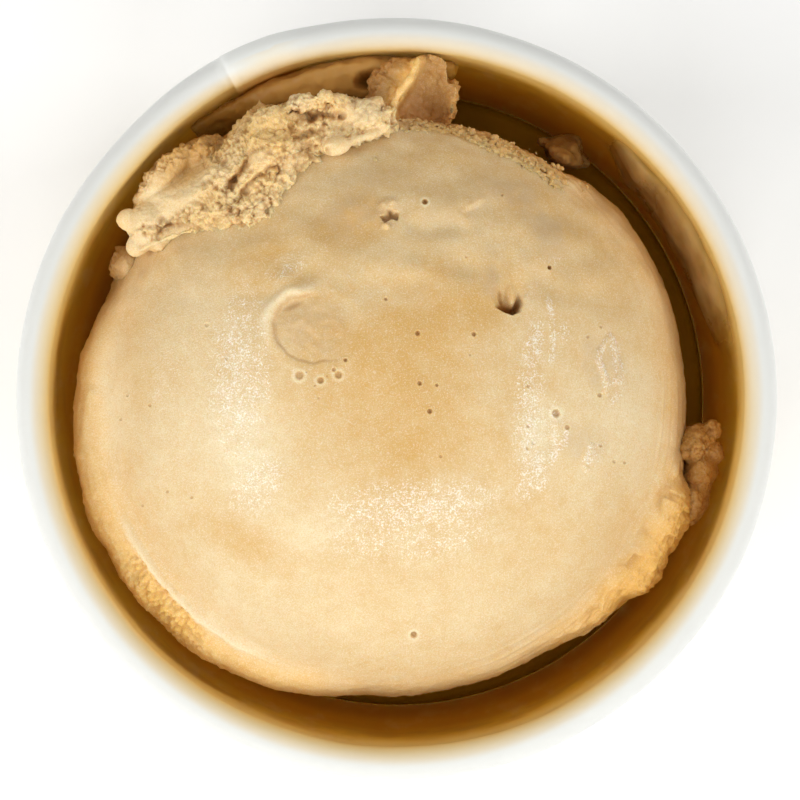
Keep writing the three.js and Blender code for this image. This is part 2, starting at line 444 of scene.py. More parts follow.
def paper_finish(tints):
    """Coated white paper that lets a little light through; inside the cup, below the rim, it takes a brown
    that is some melt stain and mostly painted shade and painted warm bounced light.
    """
    f = Finish("white_paper")
    inside = f.painted("inside")
    height = f.height()
    # The brown inside the cup is some melt stain and mostly painted shade and painted warm bounced light.
    stain, stained, streaks = wall_stain(f, tints, height)
    stained = stained * inside
    fibres = f.cloud(0.35, 2.0)
    white = f.mix(f.between(fibres, 0.35, 0.75) * 0.05, tints.paper_white, (0.76, 0.75, 0.69))
    # The rim's tint: the cut paper edge beside the seam, and painted shade on the inner half of the roll.
    blush = f.painted("blush") * (0.75 + 0.5 * f.cloud(5.0, 3.0))
    white = f.mix(blush.clamp(), white, (0.83, 0.65, 0.37))
    tint = f.mix(stained, white, stain)
    f.set(Base_Color=tint, Roughness=0.52 - 0.10 * stained - 0.08 * f.between(streaks, 0.5, 0.7) * stained)
    grain = f.bump(fibres, 0.012, 0.6)
    f.set(Normal=f.bump(streaks * stained, 0.10, 0.5, grain), Specular_IOR_Level=0.16)
    f.set(Subsurface_Weight=0.65, Subsurface_Radius=(1.0, 1.0, 1.0), Subsurface_Scale=0.0024)
    return f.material


def base_finish(tints):
    """Plain paper underneath; inside the cup a strong brown that is partly melt soaked into the paper and
    partly painted warm shade at the bottom of the cup.
    """
    f = Finish("base_paper")
    fibres = f.cloud(0.5, 3.0)
    blotches = f.cloud(7.0, 3.0)
    height = f.height()
    # wet: the base's top face inside the cup, which takes the brown of melt and painted shade.
    wet = f.between(height, 3.0, 5.0) * f.painted("inside")
    plain = f.mix(f.between(fibres, 0.3, 0.8) * 0.12, tints.base_white, (0.62, 0.58, 0.50))
    soaked = f.mix(f.between(blotches, 0.35, 0.7) * 0.5, tints.soaked, (0.90, 0.36, 0.008))
    f.set(Base_Color=f.mix(wet, plain, soaked), Roughness=0.66 - 0.1 * wet)
    f.set(Normal=f.bump(fibres, 0.02, 0.5), Specular_IOR_Level=0.08)
    return f.material


def gelato_finish(tints):
    """Dense frozen cream: pale frosted skin and deeper wet patches, which also carry painted sheen and
    painted shade; white painted glints; painted shade in torn hollows and pits; and a painted golden glow at
    thin edges.
    """
    f = Finish("gelato")
    hollow = f.painted("hollow")
    torn = f.painted("torn")
    sheen = f.painted("sheen")
    broad = f.cloud(8.0, 3.0, 0.55)
    patches = f.cloud(2.6, 4.0, 0.62)
    mottles = f.cloud(0.9, 4.0, 0.75)
    grain = f.cloud(0.13, 2.0, 0.6)
    specks = f.cloud(0.17, 3.0, 0.7)
    # The frost number mixes the skin's own frosted and wet tone with painted sheen, painted light and painted
    # shade.
    pale = f.painted("frost") + (broad - 0.5) * 0.55 + (patches - 0.5) * 0.60 + (mottles - 0.5) * 0.60
    tint = f.mix(pale.clamp(), tints.caramel, tints.cream)
    # Painted glow at thin edges and ledges, and the crest's golden tone.
    tint = f.mix(f.painted("gold").clamp(), tint, tints.gold)
    tint = f.mix(f.between(grain, 0.48, 0.72) * 0.45, tint, (0.90, 0.79, 0.62))
    tint = f.mix(f.between(grain, 0.52, 0.28) * 0.45, tint, (0.70, 0.44, 0.13))
    tint = f.mix(f.painted("chill") * f.between(patches, 0.25, 0.6), tint, (0.54, 0.38, 0.22))
    # Painted shade in hollows, pits and shaded faces, and the brown of specks.
    tint = f.mix((hollow * 0.9).clamp(), tint, tints.hollow)
    # Painted glints: white specks painted into the colour in the sheen patches, with lower roughness.
    cover = specks + (mottles - 0.5) * 0.4
    ice = f.between(cover + 0.10 * sheen, 0.60, 0.72) * f.between(sheen, 0.03, 0.6)
    tint = f.mix(ice * 0.72, tint, (1.0, 0.96, 0.88))
    wet = f.between(f.cloud(5.5, 2.0), 0.42, 0.66)
    f.set(Base_Color=tint, Roughness=(0.56 - 0.08 * wet - 0.32 * ice + 0.05 * torn).clamp())
    crystals = specks * (0.35 + 0.9 * sheen) + grain * 0.5 + mottles * 0.6
    f.set(Normal=f.bump(crystals, 0.10, 0.65))
    f.set(Subsurface_Weight=0.45, Subsurface_Radius=(1.0, 0.60, 0.32), Subsurface_Scale=0.0010)
    f.set(Specular_IOR_Level=0.40)
    return f.material


def melt_finish(tints):
    """Thin glossy melt that clings to the wall over the same brown of melt stain and painted shade; where it
    lies in the scoop's shade it is painted paler, as painted light, and hollows get painted shade.
    """
    f = Finish("melted_film")
    # The frost number here is painted light: paler melt where the film lies in shade.
    thick = f.painted("frost")
    hollow = f.painted("hollow")
    height = f.height()
    stain, _, streaks = wall_stain(f, tints, height)
    patches = f.cloud(1.6, 4.0, 0.65)
    tint = f.mix((thick * (0.4 + patches)).clamp(), stain, tints.melt)
    # Painted shade in the smear's pocket and where melt hangs in the gap.
    tint = f.mix(hollow.clamp(), tint, (0.26, 0.09, 0.006))
    f.set(Base_Color=tint, Roughness=0.42 - 0.16 * f.between(streaks, 0.45, 0.65))
    f.set(Normal=f.bump(patches, 0.12, 0.6), Subsurface_Weight=0.5, Alpha=f.painted("body").clamp())
    f.set(Subsurface_Radius=(1.0, 0.7, 0.5), Subsurface_Scale=0.0018, Specular_IOR_Level=0.25)
    return f.material


def floor_finish():
    f = Finish("pale_floor")
    grain = f.cloud(4.0, 2.0)
    f.set(Base_Color=f.mix(grain, (0.96, 0.96, 0.955), (0.98, 0.98, 0.975)), Roughness=0.8)
    return f.material


FINISH_MAKERS = {
    "white_paper": paper_finish,
    "base_paper": base_finish,
    "gelato": gelato_finish,
    "melted_film": melt_finish,
}
FINISHES = {}


def finish(slot):
    """The material of a slot, made the first time it is asked for."""
    if slot not in FINISHES:
        FINISHES[slot] = FINISH_MAKERS[slot](bpy.context.scene.gelato_finishes)
    return FINISHES[slot]


# ---------------------------------------------------------------- the cup's paper

# The lapped seam and its steps, in degrees round the cup: how wide the lap is, how far its steps fade,
# how far the rim swells on each side, and how close to an edge its nearest sections are drawn.
LAP_DEGREES = 11.0
LAP_FADE = 17.0
SWELL_BEFORE = 29.0
SWELL_AFTER = 23.0
STEP_DEGREES = 0.12
SECTION_DEGREES = 0.999
WALL_STEPS = 360
BASE_STEPS = 180
WELD = 0.001


class CupShape:
    """The cup's sidewall: where its sheet lies at each height and direction."""

    def __init__(self, sizes):
        self.height = mm(sizes.height)
        self.paper = mm(sizes.paper)
        self.curl = mm(sizes.curl_radius)
        self.curl_path = self.curl - self.paper / 2
        self.rim_radius = mm(sizes.rim_radius)
        self.curl_middle = self.rim_radius - self.curl
        self.wall_top = self.height - self.curl
        self.top = self.curl_middle - self.curl_path
        self.bottom = mm(sizes.foot_radius) - self.paper / 2
        self.lap_step = mm(sizes.lap_step)
        self.rim_swell = mm(sizes.rim_swell)
        self.floor = mm(sizes.floor_height)

    def sheet(self, z):
        """Radius of the middle of the sidewall's sheet at a height."""
        return self.bottom + (self.top - self.bottom) * np.minimum(z, self.wall_top) / self.wall_top

    def inner_lap(self, degrees):
        behind = turn(degrees, SEAM_DEGREES)
        return np.where(behind < 0, 0.0, self.lap_step * (1 - ease(behind / LAP_FADE)))

    def outer_lap(self, degrees):
        past = turn(SEAM_DEGREES - LAP_DEGREES, degrees)
        return np.where(past < 0, 0.0, self.lap_step * (1 - ease(past / LAP_FADE)))

    def swell(self, degrees):
        off = turn(SEAM_DEGREES, degrees)
        return self.rim_swell * (1 - ease(np.where(off < 0, -off / SWELL_BEFORE, off / SWELL_AFTER)))

    def inner_face(self, degrees, z):
        """Radius of the wall's inner face."""
        push = self.swell(degrees) * ease(z / self.height) ** 2
        return self.sheet(z) - self.paper / 2 - self.inner_lap(degrees) + push


def arc(x, y, radius, start, end, steps):
    """Points of a circular arc, angles in degrees."""
    angles = np.radians(np.linspace(start, end, steps + 1))
    return [(x + radius * math.cos(a), y + radius * math.sin(a)) for a in angles]


# Millimetres, except for the curl's start and end, in degrees, and for counts of steps and rows.
HEM_HEIGHT = 5.4
HEM_CORNER = 0.45
PIECE_GAP = 0.3
CURL_START = 180.0
CURL_END = -105.0
CURL_STEPS = 40
WALL_ROWS = 26
FOOT_STEPS = 5
RIM_ROOM = 0.5


def sheet_line(cup):
    """The sheet's middle line: up the hem, round the foot, up the wall and round the rim's roll."""
    hem = cup.bottom - 2 * cup.paper - 2 * PIECE_GAP
    low = cup.paper / 2 + HEM_CORNER
    line = [(hem, HEM_HEIGHT), (hem, HEM_HEIGHT / 2)]
    line += arc(hem + HEM_CORNER, low, HEM_CORNER, 180, 270, FOOT_STEPS)
    line += arc(cup.bottom - HEM_CORNER, low, HEM_CORNER, -90, 0, FOOT_STEPS)
    lapped_from = len(line)
    for z in np.linspace(low, cup.wall_top, WALL_ROWS)[1:-1]:
        line.append((float(cup.sheet(z)), float(z)))
    line += arc(cup.curl_middle, cup.wall_top, cup.curl_path, CURL_START, CURL_END, CURL_STEPS)
    return np.array(line), lapped_from


def side_normals(line):
    """Directions to the left of a line at each of its points."""
    forward = np.gradient(line, axis=0)
    forward /= np.linalg.norm(forward, axis=1)[:, None]
    return columns(-forward[:, 1], forward[:, 0])


def spun(name, outline, steps, closed=True):
    """Turns an outline, given as radius and height, into a ring or, where it is open, a disc."""
    bm = bmesh.new()
    corners = [bm.verts.new((x, 0.0, z)) for x, z in outline]
    if closed:
        edges = [bm.edges.new(pair) for pair in zip(corners, corners[1:] + corners[:1])]
    else:
        edges = [bm.edges.new(pair) for pair in zip(corners, corners[1:])]
    bmesh.ops.spin(
        bm, geom=corners + edges, axis=(0, 0, 1), cent=(0, 0, 0),
        angle=math.tau, steps=steps, use_merge=True, use_duplicate=False,
    )
    if not closed:
        bmesh.ops.remove_doubles(bm, verts=bm.verts, dist=WELD)
    return solid_mesh(bm, name)


def make_cup_wall(cup):
    line, lapped_from = sheet_line(cup)
    left = side_normals(line)
    half = cup.paper / 2
    outline = np.concatenate((line - left * half, (line + left * half)[::-1]))
    mesh = spun("cup_wall_paper", outline.tolist(), WALL_STEPS)
    points = read_points(mesh)
    radius = flat_length(points)
    degrees = heading(points)
    # Each point's own place on the outline, found by its radius and height.
    flat = columns(radius, points[:, 2])
    own = np.argmin(((flat[:, None, :] - outline[None, :, :]) ** 2).sum(2), axis=1)
    count = len(line)
    is_far = own < count
    along = np.where(is_far, own, 2 * count - 1 - own)
    lapped = along >= lapped_from
    # The sections less than a degree from each paper edge close up to make its step crisp.
    for edge in (SEAM_DEGREES, SEAM_DEGREES - LAP_DEGREES):
        off = turn(edge, degrees)
        close = np.abs(off) < SECTION_DEGREES
        degrees = np.where(close, edge + np.sign(off + 1e-9) * STEP_DEGREES, degrees)
    way = left[along]
    proud = np.where(is_far, -cup.outer_lap(degrees), cup.inner_lap(degrees)) * lapped
    radius = radius + way[:, 0] * proud
    z = points[:, 2] + way[:, 1] * proud
    radius = radius + cup.swell(degrees) * ease(z / cup.height) ** 2
    # A hand-made cup is never quite even: slow waves in the roll, faint dimples in the wall.
    ring = on_circles(degrees, 3.0, z / 30)
    uneven = wavy(ring, 1.0, 2) * 0.10 * ease(z / 40) + wavy(ring * 4, 1.0, 5) * 0.03 * ease((z - 46) / 3)
    radius = np.minimum(radius + uneven, cup.rim_radius + RIM_ROOM)
    write_points(mesh, on_circles(degrees, radius, z))
    facing_in = np.where(is_far, 0.0, ease((cup.curl_middle + 0.4 - radius) / 0.8))
    near_seam = bell(turn(SEAM_DEGREES - 7.0, degrees), 4.5) * ease((z - 48.2) / 1.0)
    near_seam *= radius < cup.curl_middle + 0.9
    # Painted shade: a cream tint over the inner half of the roll, where it curls down into the cup, least at
    # the upper right.
    clean = 1.0 - 0.6 * ease((85.0 - np.abs(turn(60.0, degrees))) / 50.0)
    creep = 0.72 * clean * ease((cup.curl_middle + 0.60 - radius) / 1.9)
    # The tint is the cream of the cut paper edge beside the seam, and painted shade on the inner half of the
    # roll.
    blush = np.maximum(0.35 * near_seam, creep * (along >= lapped_from))
    paint(mesh, inside=facing_in * (along >= lapped_from - FOOT_STEPS), blush=blush)
    return mesh


SHOULDER = 1.0
SKIRT_FOOT = 1.0


def make_cup_base(cup):
    edge = float(cup.sheet(cup.floor)) - cup.paper / 2 - cup.lap_step - PIECE_GAP
    low = float(cup.sheet(SKIRT_FOOT)) - cup.paper / 2 - PIECE_GAP
    under = cup.floor - cup.paper
    outline = [(0.0, under), (edge * 0.5, under)]
    outline += arc(edge - SHOULDER, cup.floor - SHOULDER, SHOULDER - cup.paper, 90, 0, 8)
    outline += [(low - cup.paper, SKIRT_FOOT), (low, SKIRT_FOOT)]
    outline += arc(edge - SHOULDER, cup.floor - SHOULDER, SHOULDER, 0, 90, 10)
    outline += [(edge * 0.5, cup.floor), (0.0, cup.floor)]
    mesh = spun("cup_base_paper", outline, BASE_STEPS, closed=False)
    points = read_points(mesh)
    outward = points.copy()
    outward[:, 2] = 0.0
    outward /= np.maximum(np.linalg.norm(outward, axis=1), NEAR_AXIS)[:, None]
    facing = read_normals(mesh)
    paint(mesh, inside=((facing * outward).sum(1) > 0.1) | (facing[:, 2] > 0.1))
    return mesh


# ---------------------------------------------------------------- the scoop

# Places are millimetres from the cup's axis, as they show on the rim's plane: x to the right, y up.
SCOOP_CENTRE = (-0.9, 0.1)
DENT_EDGE = (
    (-7.4, 10.5), (-8.6, 10.45), (-9.8, 10.2), (-10.8, 9.9), (-11.6, 9.3), (-12.2, 8.5), (-12.45, 7.5),
    (-12.25, 6.4), (-11.7, 5.4), (-10.7, 4.5), (-9.5, 3.95), (-8.2, 3.75), (-6.8, 3.8), (-5.4, 4.05),
    (-4.4, 4.5),
)
SMALL_HOLE = ((-1.4, 17.8), (-0.7, 18.4), (0.2, 18.2))
VALLEY = ((0.3, 17.7), (3.3, 16.9), (5.8, 17.3), (6.6, 18.3))
SHORT_STEP = ((6.4, 18.4), (7.8, 19.1), (9.1, 19.9))
DRIP_LEFT = (
    (21.4, 6.7), (21.0, 5.9), (20.2, 4.7), (20.15, 3.7), (20.5, 2.7), (20.9, 1.6), (20.7, 0.7), (21.1, 0.2),
)
DRIP_RIGHT = ((21.4, 6.4), (21.7, 4.9), (22.1, 3.3), (22.0, 2.4), (21.5, 1.3))
LOWER_DRIP = ((19.5, -4.3), (18.8, -5.6), (18.65, -6.6), (19.0, -7.3))
SLOW_FOLD = ((16.3, -3.8), (14.8, -5.1), (13.8, -7.1))
FAINT_RIPPLE = ((-3.7, -25.7), (-1.2, -25.4), (0.9, -24.0))
SIDE_FOLD = ((-29.9, 1.6), (-30.6, 0.0), (-31.0, -3.0), (-31.1, -4.6))

# Lines in the skin: place, height (below 0 for grooves), width, share that fades at each end.
SKIN_STROKES = (
    (VALLEY, -0.45, 1.0, 0.2), (DRIP_LEFT, 0.16, 0.24, 0.12), (DRIP_RIGHT, 0.12, 0.25, 0.12),
    (LOWER_DRIP, 0.15, 0.26, 0.12), (SLOW_FOLD, -0.16, 0.4, 0.2), (FAINT_RIPPLE, 0.08, 0.35, 0.2),
    (SIDE_FOLD, 0.22, 0.5, 0.2),
)
# Low swellings in the skin: x, y, half sizes, angle, height.
SKIN_MOUNDS = (
    (-1.1, 17.25, 0.55, 0.42, -20, 0.45), (21.1, 3.2, 3.2, 1.3, 95, 0.16), (19.7, -5.9, 1.9, 1.1, 70, 0.14),
    (15.9, -2.5, 0.8, 0.7, 0, 0.12),
)

# Burst bubbles and brown specks: x, y, radius, depth, how brown, which is painted shade in a bubble and a
# speck's own colour.
PORES = (
    (-9.7, 2.38, 0.38, 0.12, 0.46), (-7.6, 1.88, 0.3, 0.16, 0.55), (-5.8, 2.43, 0.33, 0.15, 0.5),
    (-6.25, 2.95, 0.2, 0.12, 0.45), (-5.1, 3.9, 0.19, 0.18, 0.6), (-8.98, 2.71, 0.09, 0.05, 0.35),
    (-8.15, 1.36, 0.11, 0.06, 0.35), (-6.95, 2.3, 0.09, 0.05, 0.35), (-7.8, 0.11, 0.1, 0.05, 0.35),
    (2.1, 6.6, 0.24, 0.22, 0.55), (2.3, 1.6, 0.22, 0.2, 0.5), (4.0, 1.4, 0.16, 0.14, 0.45),
    (3.3, -1.2, 0.24, 0.24, 0.55), (19.05, 6.2, 0.15, 0.05, 0.4), (20.35, 7.2, 0.14, 0.06, 0.3),
    (20.2, 0.4, 0.2, 0.14, 0.4), (13.1, 1.3, 0.15, 0.08, 0.35), (13.6, -4.4, 0.16, 0.08, 0.3),
    (13.0, -4.9, 0.14, 0.08, 0.3), (13.1, -2.7, 0.16, 0.08, 0.35), (21.6, -6.2, 0.16, 0.08, 0.3),
    (22.65, -6.3, 0.15, 0.08, 0.3), (20.2, -4.6, 0.16, 0.08, 0.3), (7.71, 6.49, 0.22, 0.2, 0.55),
    (7.31, 4.4, 0.1, 0.05, 0.4), (-1.09, 10.03, 0.17, 0.12, 0.45), (4.4, -5.7, 0.15, 0.08, 0.4),
    (1.7, -23.4, 0.3, 0.28, 0.6), (-26.9, 0.4, 0.15, 0.08, 0.3), (-24.6, -0.6, 0.15, 0.08, 0.3),
    (-27.6, -2.0, 0.15, 0.08, 0.3), (-22.8, -9.2, 0.15, 0.08, 0.35), (-20.4, -9.8, 0.14, 0.08, 0.35),
    (-25.3, -10.6, 0.15, 0.08, 0.35), (2.8, 19.55, 0.26, 0.4, 0.7), (10.4, 20.15, 0.13, 0.1, 0.3),
    (15.28, 13.17, 0.19, 0.6, 1.0), (15.9, -1.4, 0.36, 0.2, 0.5), (17.0, -2.8, 0.22, 0.12, 0.45),
    (7.0, 14.27, 0.12, 0.04, 0.35), (-18.9, 7.4, 0.2, 0.06, 0.1), (-16.9, 4.0, 0.15, 0.06, 0.25),
)

# Zones whose mesh is made finer, then those that are halved once more: x, y, radius.
FINE_ZONES = (
    (-9.0, 7.4, 5.4), (11.2, 10.6, 3.4), (-0.8, 18.3, 2.0), (7.8, 19.0, 1.8), (21.2, 3.6, 3.6),
    (19.0, -5.6, 2.2), (15.9, -2.0, 1.8), (15.6, 5.2, 4.6),
)
FINEST_ZONES = ((11.3, 9.8, 2.3), (-10.6, 8.9, 2.4), (-0.6, 18.3, 1.5))
SPHERE_SPLITS = 6
SCOOP_WALL_GAP = 0.15
SCOOP_FLOOR_GAP = 0.3
# The direction, in degrees, past which a ledge is the right one.
RIGHT_LEDGE = 280.0


def dome_points(unit, sizes):
    """The plain scoop: a point of the unit sphere placed on its smooth dome, and the way out of it."""
    radius = mm(sizes.scoop_radius)
    up = mm(sizes.dome_height)
    down = mm(sizes.scoop_depth)
    round_half = np.full(len(unit), radius)
    half = columns(round_half, round_half, np.where(unit[:, 2] > 0, up, down))
    out = unit / half
    out /= np.linalg.norm(out, axis=1)[:, None]
    return unit * half + (*SCOOP_CENTRE, mm(sizes.equator_height)), out


def split_edges(bm, picked):
    """Halves the picked edges and keeps the skin in triangles."""
    edges = [edge for edge, pick in zip(bm.edges, picked) if pick]
    bmesh.ops.subdivide_edges(bm, edges=edges, cuts=1, use_grid_fill=True)
    bmesh.ops.triangulate(bm, faces=[face for face in bm.faces if len(face.verts) > 3])


def split_where(bm, wanted):
    """Halves the edges whose middle a test picks, and keeps the sphere round."""
    middles = np.array([(e.verts[0].co + e.verts[1].co) / 2 for e in bm.edges])
    split_edges(bm, wanted(middles / np.linalg.norm(middles, axis=1)[:, None]))
    for vert in bm.verts:
        vert.co.normalize()


def near_marks(plan, zones, pore_sizes, margin=0.0):
    """Which points lie in the zones or beside the burst bubbles."""
    hit = np.zeros(len(plan), bool)
    for x, y, radius in zones:
        hit |= apart(plan, x, y) < radius + margin
    for x, y, radius, _, _ in PORES:
        hit |= apart(plan, x, y) < radius * pore_sizes + margin
    return hit


def scoop_sphere(sizes):
    """A unit sphere, finer on its upper side and finest where the skin has small marks."""
    bm = bmesh.new()
    bmesh.ops.create_icosphere(bm, subdivisions=SPHERE_SPLITS, radius=1.0)

    def plan_at(unit):
        return plan_of(dome_points(unit, sizes)[0])

    def upper_side(unit):
        return unit[:, 2] > -0.12

    def marks_and_rim(unit):
        plan = plan_at(unit)
        hit = near_marks(plan, FINE_ZONES, 2.2, 0.5) | (torn_strip(plan)[0] > 0.05)
        rim = (unit[:, 2] > -0.06) & (unit[:, 2] < 0.42) & (unit[:, 1] < 0.15)
        return hit & (unit[:, 2] > 0) | rim

    def marks_and_ledges(unit):
        points, _ = dome_points(unit, sizes)
        around = heading(unit) % 360.0
        push = ledge_reach(around, points[:, 2])
        points[:, :2] += unit[:, :2] * (push / np.maximum(flat_length(unit), NEAR_AXIS))[:, None]
        plan = plan_of(points)
        x, y, half_x, half_y, degrees = LEDGE_TORN
        hit = mound(plan, (x, y), (half_x + TORN_MARGIN, half_y + TORN_MARGIN), degrees) > 0.04
        hit |= np.abs(beside(plan, LEDGE_FOLD)[0]) < FOLD_NEAR
        hit |= (push > 0.45) & (around > RIGHT_LEDGE)
        hit |= near_marks(plan_at(unit), FINE_ZONES, 2.2)
        return hit & (unit[:, 2] > 0)

    def finest(unit):
        return near_marks(plan_at(unit), FINEST_ZONES, 1.7) & (unit[:, 2] > 0)

    for wanted in (upper_side, marks_and_rim, marks_and_ledges, finest):
        split_where(bm, wanted)
    return as_mesh(bm, "scoop_skin")


# The torn strip's run round the scoop: direction, outer and inner reach.
STRIP_DEGREES = (44.0, 52.0, 60.0, 70.0, 78.0, 90.0)
STRIP_OUTER = (29.6, 28.35, 28.1, 28.0, 27.9, 27.6)
STRIP_INNER = (29.0, 27.6, 27.3, 26.7, 26.9, 26.8)


def torn_strip(plan):
    """Where the skin tore off along the upper right, and how far out the scoop reaches there."""
    off = plan - np.array(SCOOP_CENTRE)
    degrees = heading(off)
    along = ease((degrees - STRIP_DEGREES[0]) / 9.0) * ease((STRIP_DEGREES[-1] - degrees) / 6.0)
    limit = np.interp(degrees, STRIP_DEGREES, STRIP_OUTER)
    inner = np.interp(degrees, STRIP_DEGREES, STRIP_INNER)
    return along * ease((flat_length(off) - inner + 0.25) / 0.5), limit


# The deep scrape at the upper right: its left, right and lower walls, its groove and its floor's depth.
SCRAPE_LEFT = ((8.4, 10.9), (8.68, 10.6), (9.18, 9.8), (10.33, 9.3), (12.17, 9.2), (15.0, 9.1))
SCRAPE_RIGHT = (
    (8.4, 12.0), (8.68, 12.45), (9.51, 12.76), (10.13, 12.8), (10.6, 13.2), (12.0, 13.8), (15.0, 13.8),
)
SCRAPE_FOOT = ((9.2, 10.3), (9.8, 9.18), (10.6, 8.68), (11.64, 8.38), (12.45, 8.68), (12.8, 9.5))
SCRAPE_GROOVE = ((10.35, 11.2), (10.5, 10.2), (10.95, 9.4))
SCRAPE_FLOOR = ((8.4, 2.1), (9.1, 2.1), (9.7, 1.15), (11.0, 0.75), (12.0, 0.52), (14.0, 0.2), (15.2, 0.0))


def crater(plan, points):
    """The deep scrape: a soft approach from above that ends in a steep crescent, with painted shade in the
    crescent and the groove.
    """
    x, y = plan[:, 0], plan[:, 1]
    jitter = 0.06 * wavy(points, 0.8, 41)
    soft_left = np.interp(y, (8.4, 9.2, 10.3, 15.0), (0.30, 0.9, 1.5, 1.9))
    soft_right = np.interp(y, (8.4, 10.1, 10.6, 12.0, 15.0), (0.20, 0.20, 1.1, 2.4, 2.8))
    within = ease((x + jitter - drawn(y, SCRAPE_LEFT)) / soft_left)
    within *= ease((drawn(y, SCRAPE_RIGHT) - x + jitter) / soft_right)
    within *= ease((y + jitter - drawn(x, SCRAPE_FOOT)) / 0.22)
    depth = within * drawn(y, SCRAPE_FLOOR)
    ramp = mound(plan, (11.7, 10.2), (0.75, 1.9), 4) * ease((y - 9.0) / 0.5)
    depth *= 1.0 - 0.5 * ramp
    groove = stroke(plan, SCRAPE_GROOVE, 0.18, 0.3)
    depth += 0.30 * groove
    # Painted shade: darker in the deep end, the groove, the left wall and the crescent that faces away from
    # the lamps.
    dark = ease((depth - 0.85) / 0.8) * (1.0 - 0.5 * ramp)
    dark = np.maximum(dark, 0.34 * groove)
    dark = np.maximum(dark, 0.22 * within * ease((10.3 - x) / 0.8) * ease((12.5 - y) / 1.5))
    dark = np.maximum(dark, 0.95 * within * mound(plan, (12.45, 9.6), (0.45, 0.75)))
    depth += 0.5 * within * mound(plan, (12.35, 9.5), (0.5, 0.8))
    return depth, dark


def skin_relief(plan, points):
    """How far each point of the dome's skin stands proud, in millimetres, and how much painted shade it takes
    in its dents, pits and burst bubbles, with the brown of real specks.
    """
    rise = 0.30 * wavy(points, 15.0, 1) + 0.15 * wavy(points, 6.0, 2) + 0.05 * wavy(points, 2.2, 3)
    upper = ease((plan[:, 1] - 6.0) / 7.0)
    rise += (0.46 * wavy(points * (0.8, 1.3, 1.0), 4.2, 8) + 0.14 * wavy(points, 1.7, 9)) * upper
    dark = np.zeros(len(plan))
    depth, inner = crater(plan, points)
    rise -= depth
    dark = np.maximum(dark, inner)
    warped = plan + 0.30 * columns(wavy(points, 2.2, 61), wavy(points, 2.2, 62))
    inward, share = beside(warped, DENT_EDGE)
    inward = inward + 0.12 * wavy(points, 0.9, 42)
    step = np.interp(share, (0.0, 0.12, 0.3, 0.45, 0.6, 1.0), (0.0, 0.34, 0.46, 0.24, 0.06, 0.0))
    rise -= step * ease((inward + 0.05) / 0.3) * bell(np.maximum(inward, 0.0), 1.5)
    rise += 0.75 * step * bell(inward + 0.55, 0.5)
    rise -= 0.26 * np.sqrt(mound(plan, (-8.2, 7.0), (5.0, 4.2), 0))
    rise += 0.10 * wavy(points, 0.8, 44) * ease(2.0 * mound(plan, (-8.2, 7.0), (4.4, 3.4), 0))
    # Painted shade in the dent's groove and in the pocket under its lip.
    groove = bell(inward, 0.15) * ease(share / 0.1) * ease((1.0 - share) / 0.25)
    rise -= 0.09 * groove
    pocket = mound(plan, (-10.5, 9.45), (1.5, 0.55), 24)
    rise -= 0.22 * pocket
    dark = np.maximum(dark, np.maximum(0.34 * groove, 0.42 * pocket))
    side, share = beside(plan, SMALL_HOLE)
    pit = ease((0.42 + 0.2 * wavy(points, 0.5, 43) - np.abs(side)) / 0.26) * (share > 0.0) * (share < 1.0)
    rise -= 0.9 * pit
    # Painted shade in the small hole.
    dark = np.maximum(dark, 0.55 * pit)
    rough = 0.25 * wavy(points, 0.55, 7)
    rise += (0.42 + rough) * mound(plan, (-0.9, 19.35), (1.3, 0.75), 20)
    side, share = beside(plan, SHORT_STEP)
    rise += 0.40 * ease((side + 0.25) / 0.5) * bell(np.maximum(side, 0.0), 2.4) * ends_fade(share, 0.4)
    for line, high, wide, fade in SKIN_STROKES:
        rise += high * stroke(plan, line, wide, fade)
    for x, y, half_x, half_y, degrees, high in SKIN_MOUNDS:
        rise += high * mound(plan, (x, y), (half_x, half_y), degrees)
    for x, y, radius, depth, brown in PORES:
        away = apart(plan, x, y) / radius
        pit = ease((1.25 - away) / 0.6)
        rise += 0.04 * bell(away - 1.5, 0.4) - depth * pit
        # Painted shade inside each burst bubble; a speck keeps its own brown.
        dark = np.maximum(dark, brown * pit)
    return rise, dark


# How far the scoop squeezed out over its widest place: direction in degrees, reach.
LEDGE_REACH = (
    (0.0, 0.0), (160.0, 0.0), (166.0, 0.8), (172.0, 1.4), (190.0, 2.2), (201.0, 2.65), (213.0, 2.75),
    (233.0, 2.45), (249.0, 1.7), (258.0, 0.7), (266.0, 0.0), (300.0, 0.0), (308.0, 0.7), (313.0, 1.2),
    (317.0, 1.6), (320.0, 2.0), (323.0, 2.9), (328.0, 3.0), (334.0, 2.9), (338.0, 2.9), (341.0, 2.3),
    (345.0, 1.1), (350.0, 0.0),
)
# Where the ledges begin and end, and how they lift: by the first for a push of the second.
LEDGE_TOP = 48.0
LEDGE_FOOT = 36.5
LEDGE_LIFT = 1.4
LEDGE_LIFT_AT = 2.8
LEDGE_FULL = 3.0

# The soft pale fold along the left ledge, and the torn strip outside it: centre, half sizes, direction.
LEDGE_FOLD = (
    (-29.4, -8.0), (-27.35, -12.6), (-24.5, -17.0), (-20.1, -22.0), (-15.4, -24.6), (-9.7, -27.4),
)
LEDGE_TORN = (-23.3, -20.0, 8.4, 2.3, -50.0)
TORN_MARGIN = 0.4
FOLD_NEAR = 0.9


def ledge_reach(around, height):
    """How far the ledges push the scoop outwards at a direction and height."""
    return drawn(around, LEDGE_REACH) * ease((LEDGE_TOP - height) / 3.6) * ease((height - LEDGE_FOOT) / 7.0)


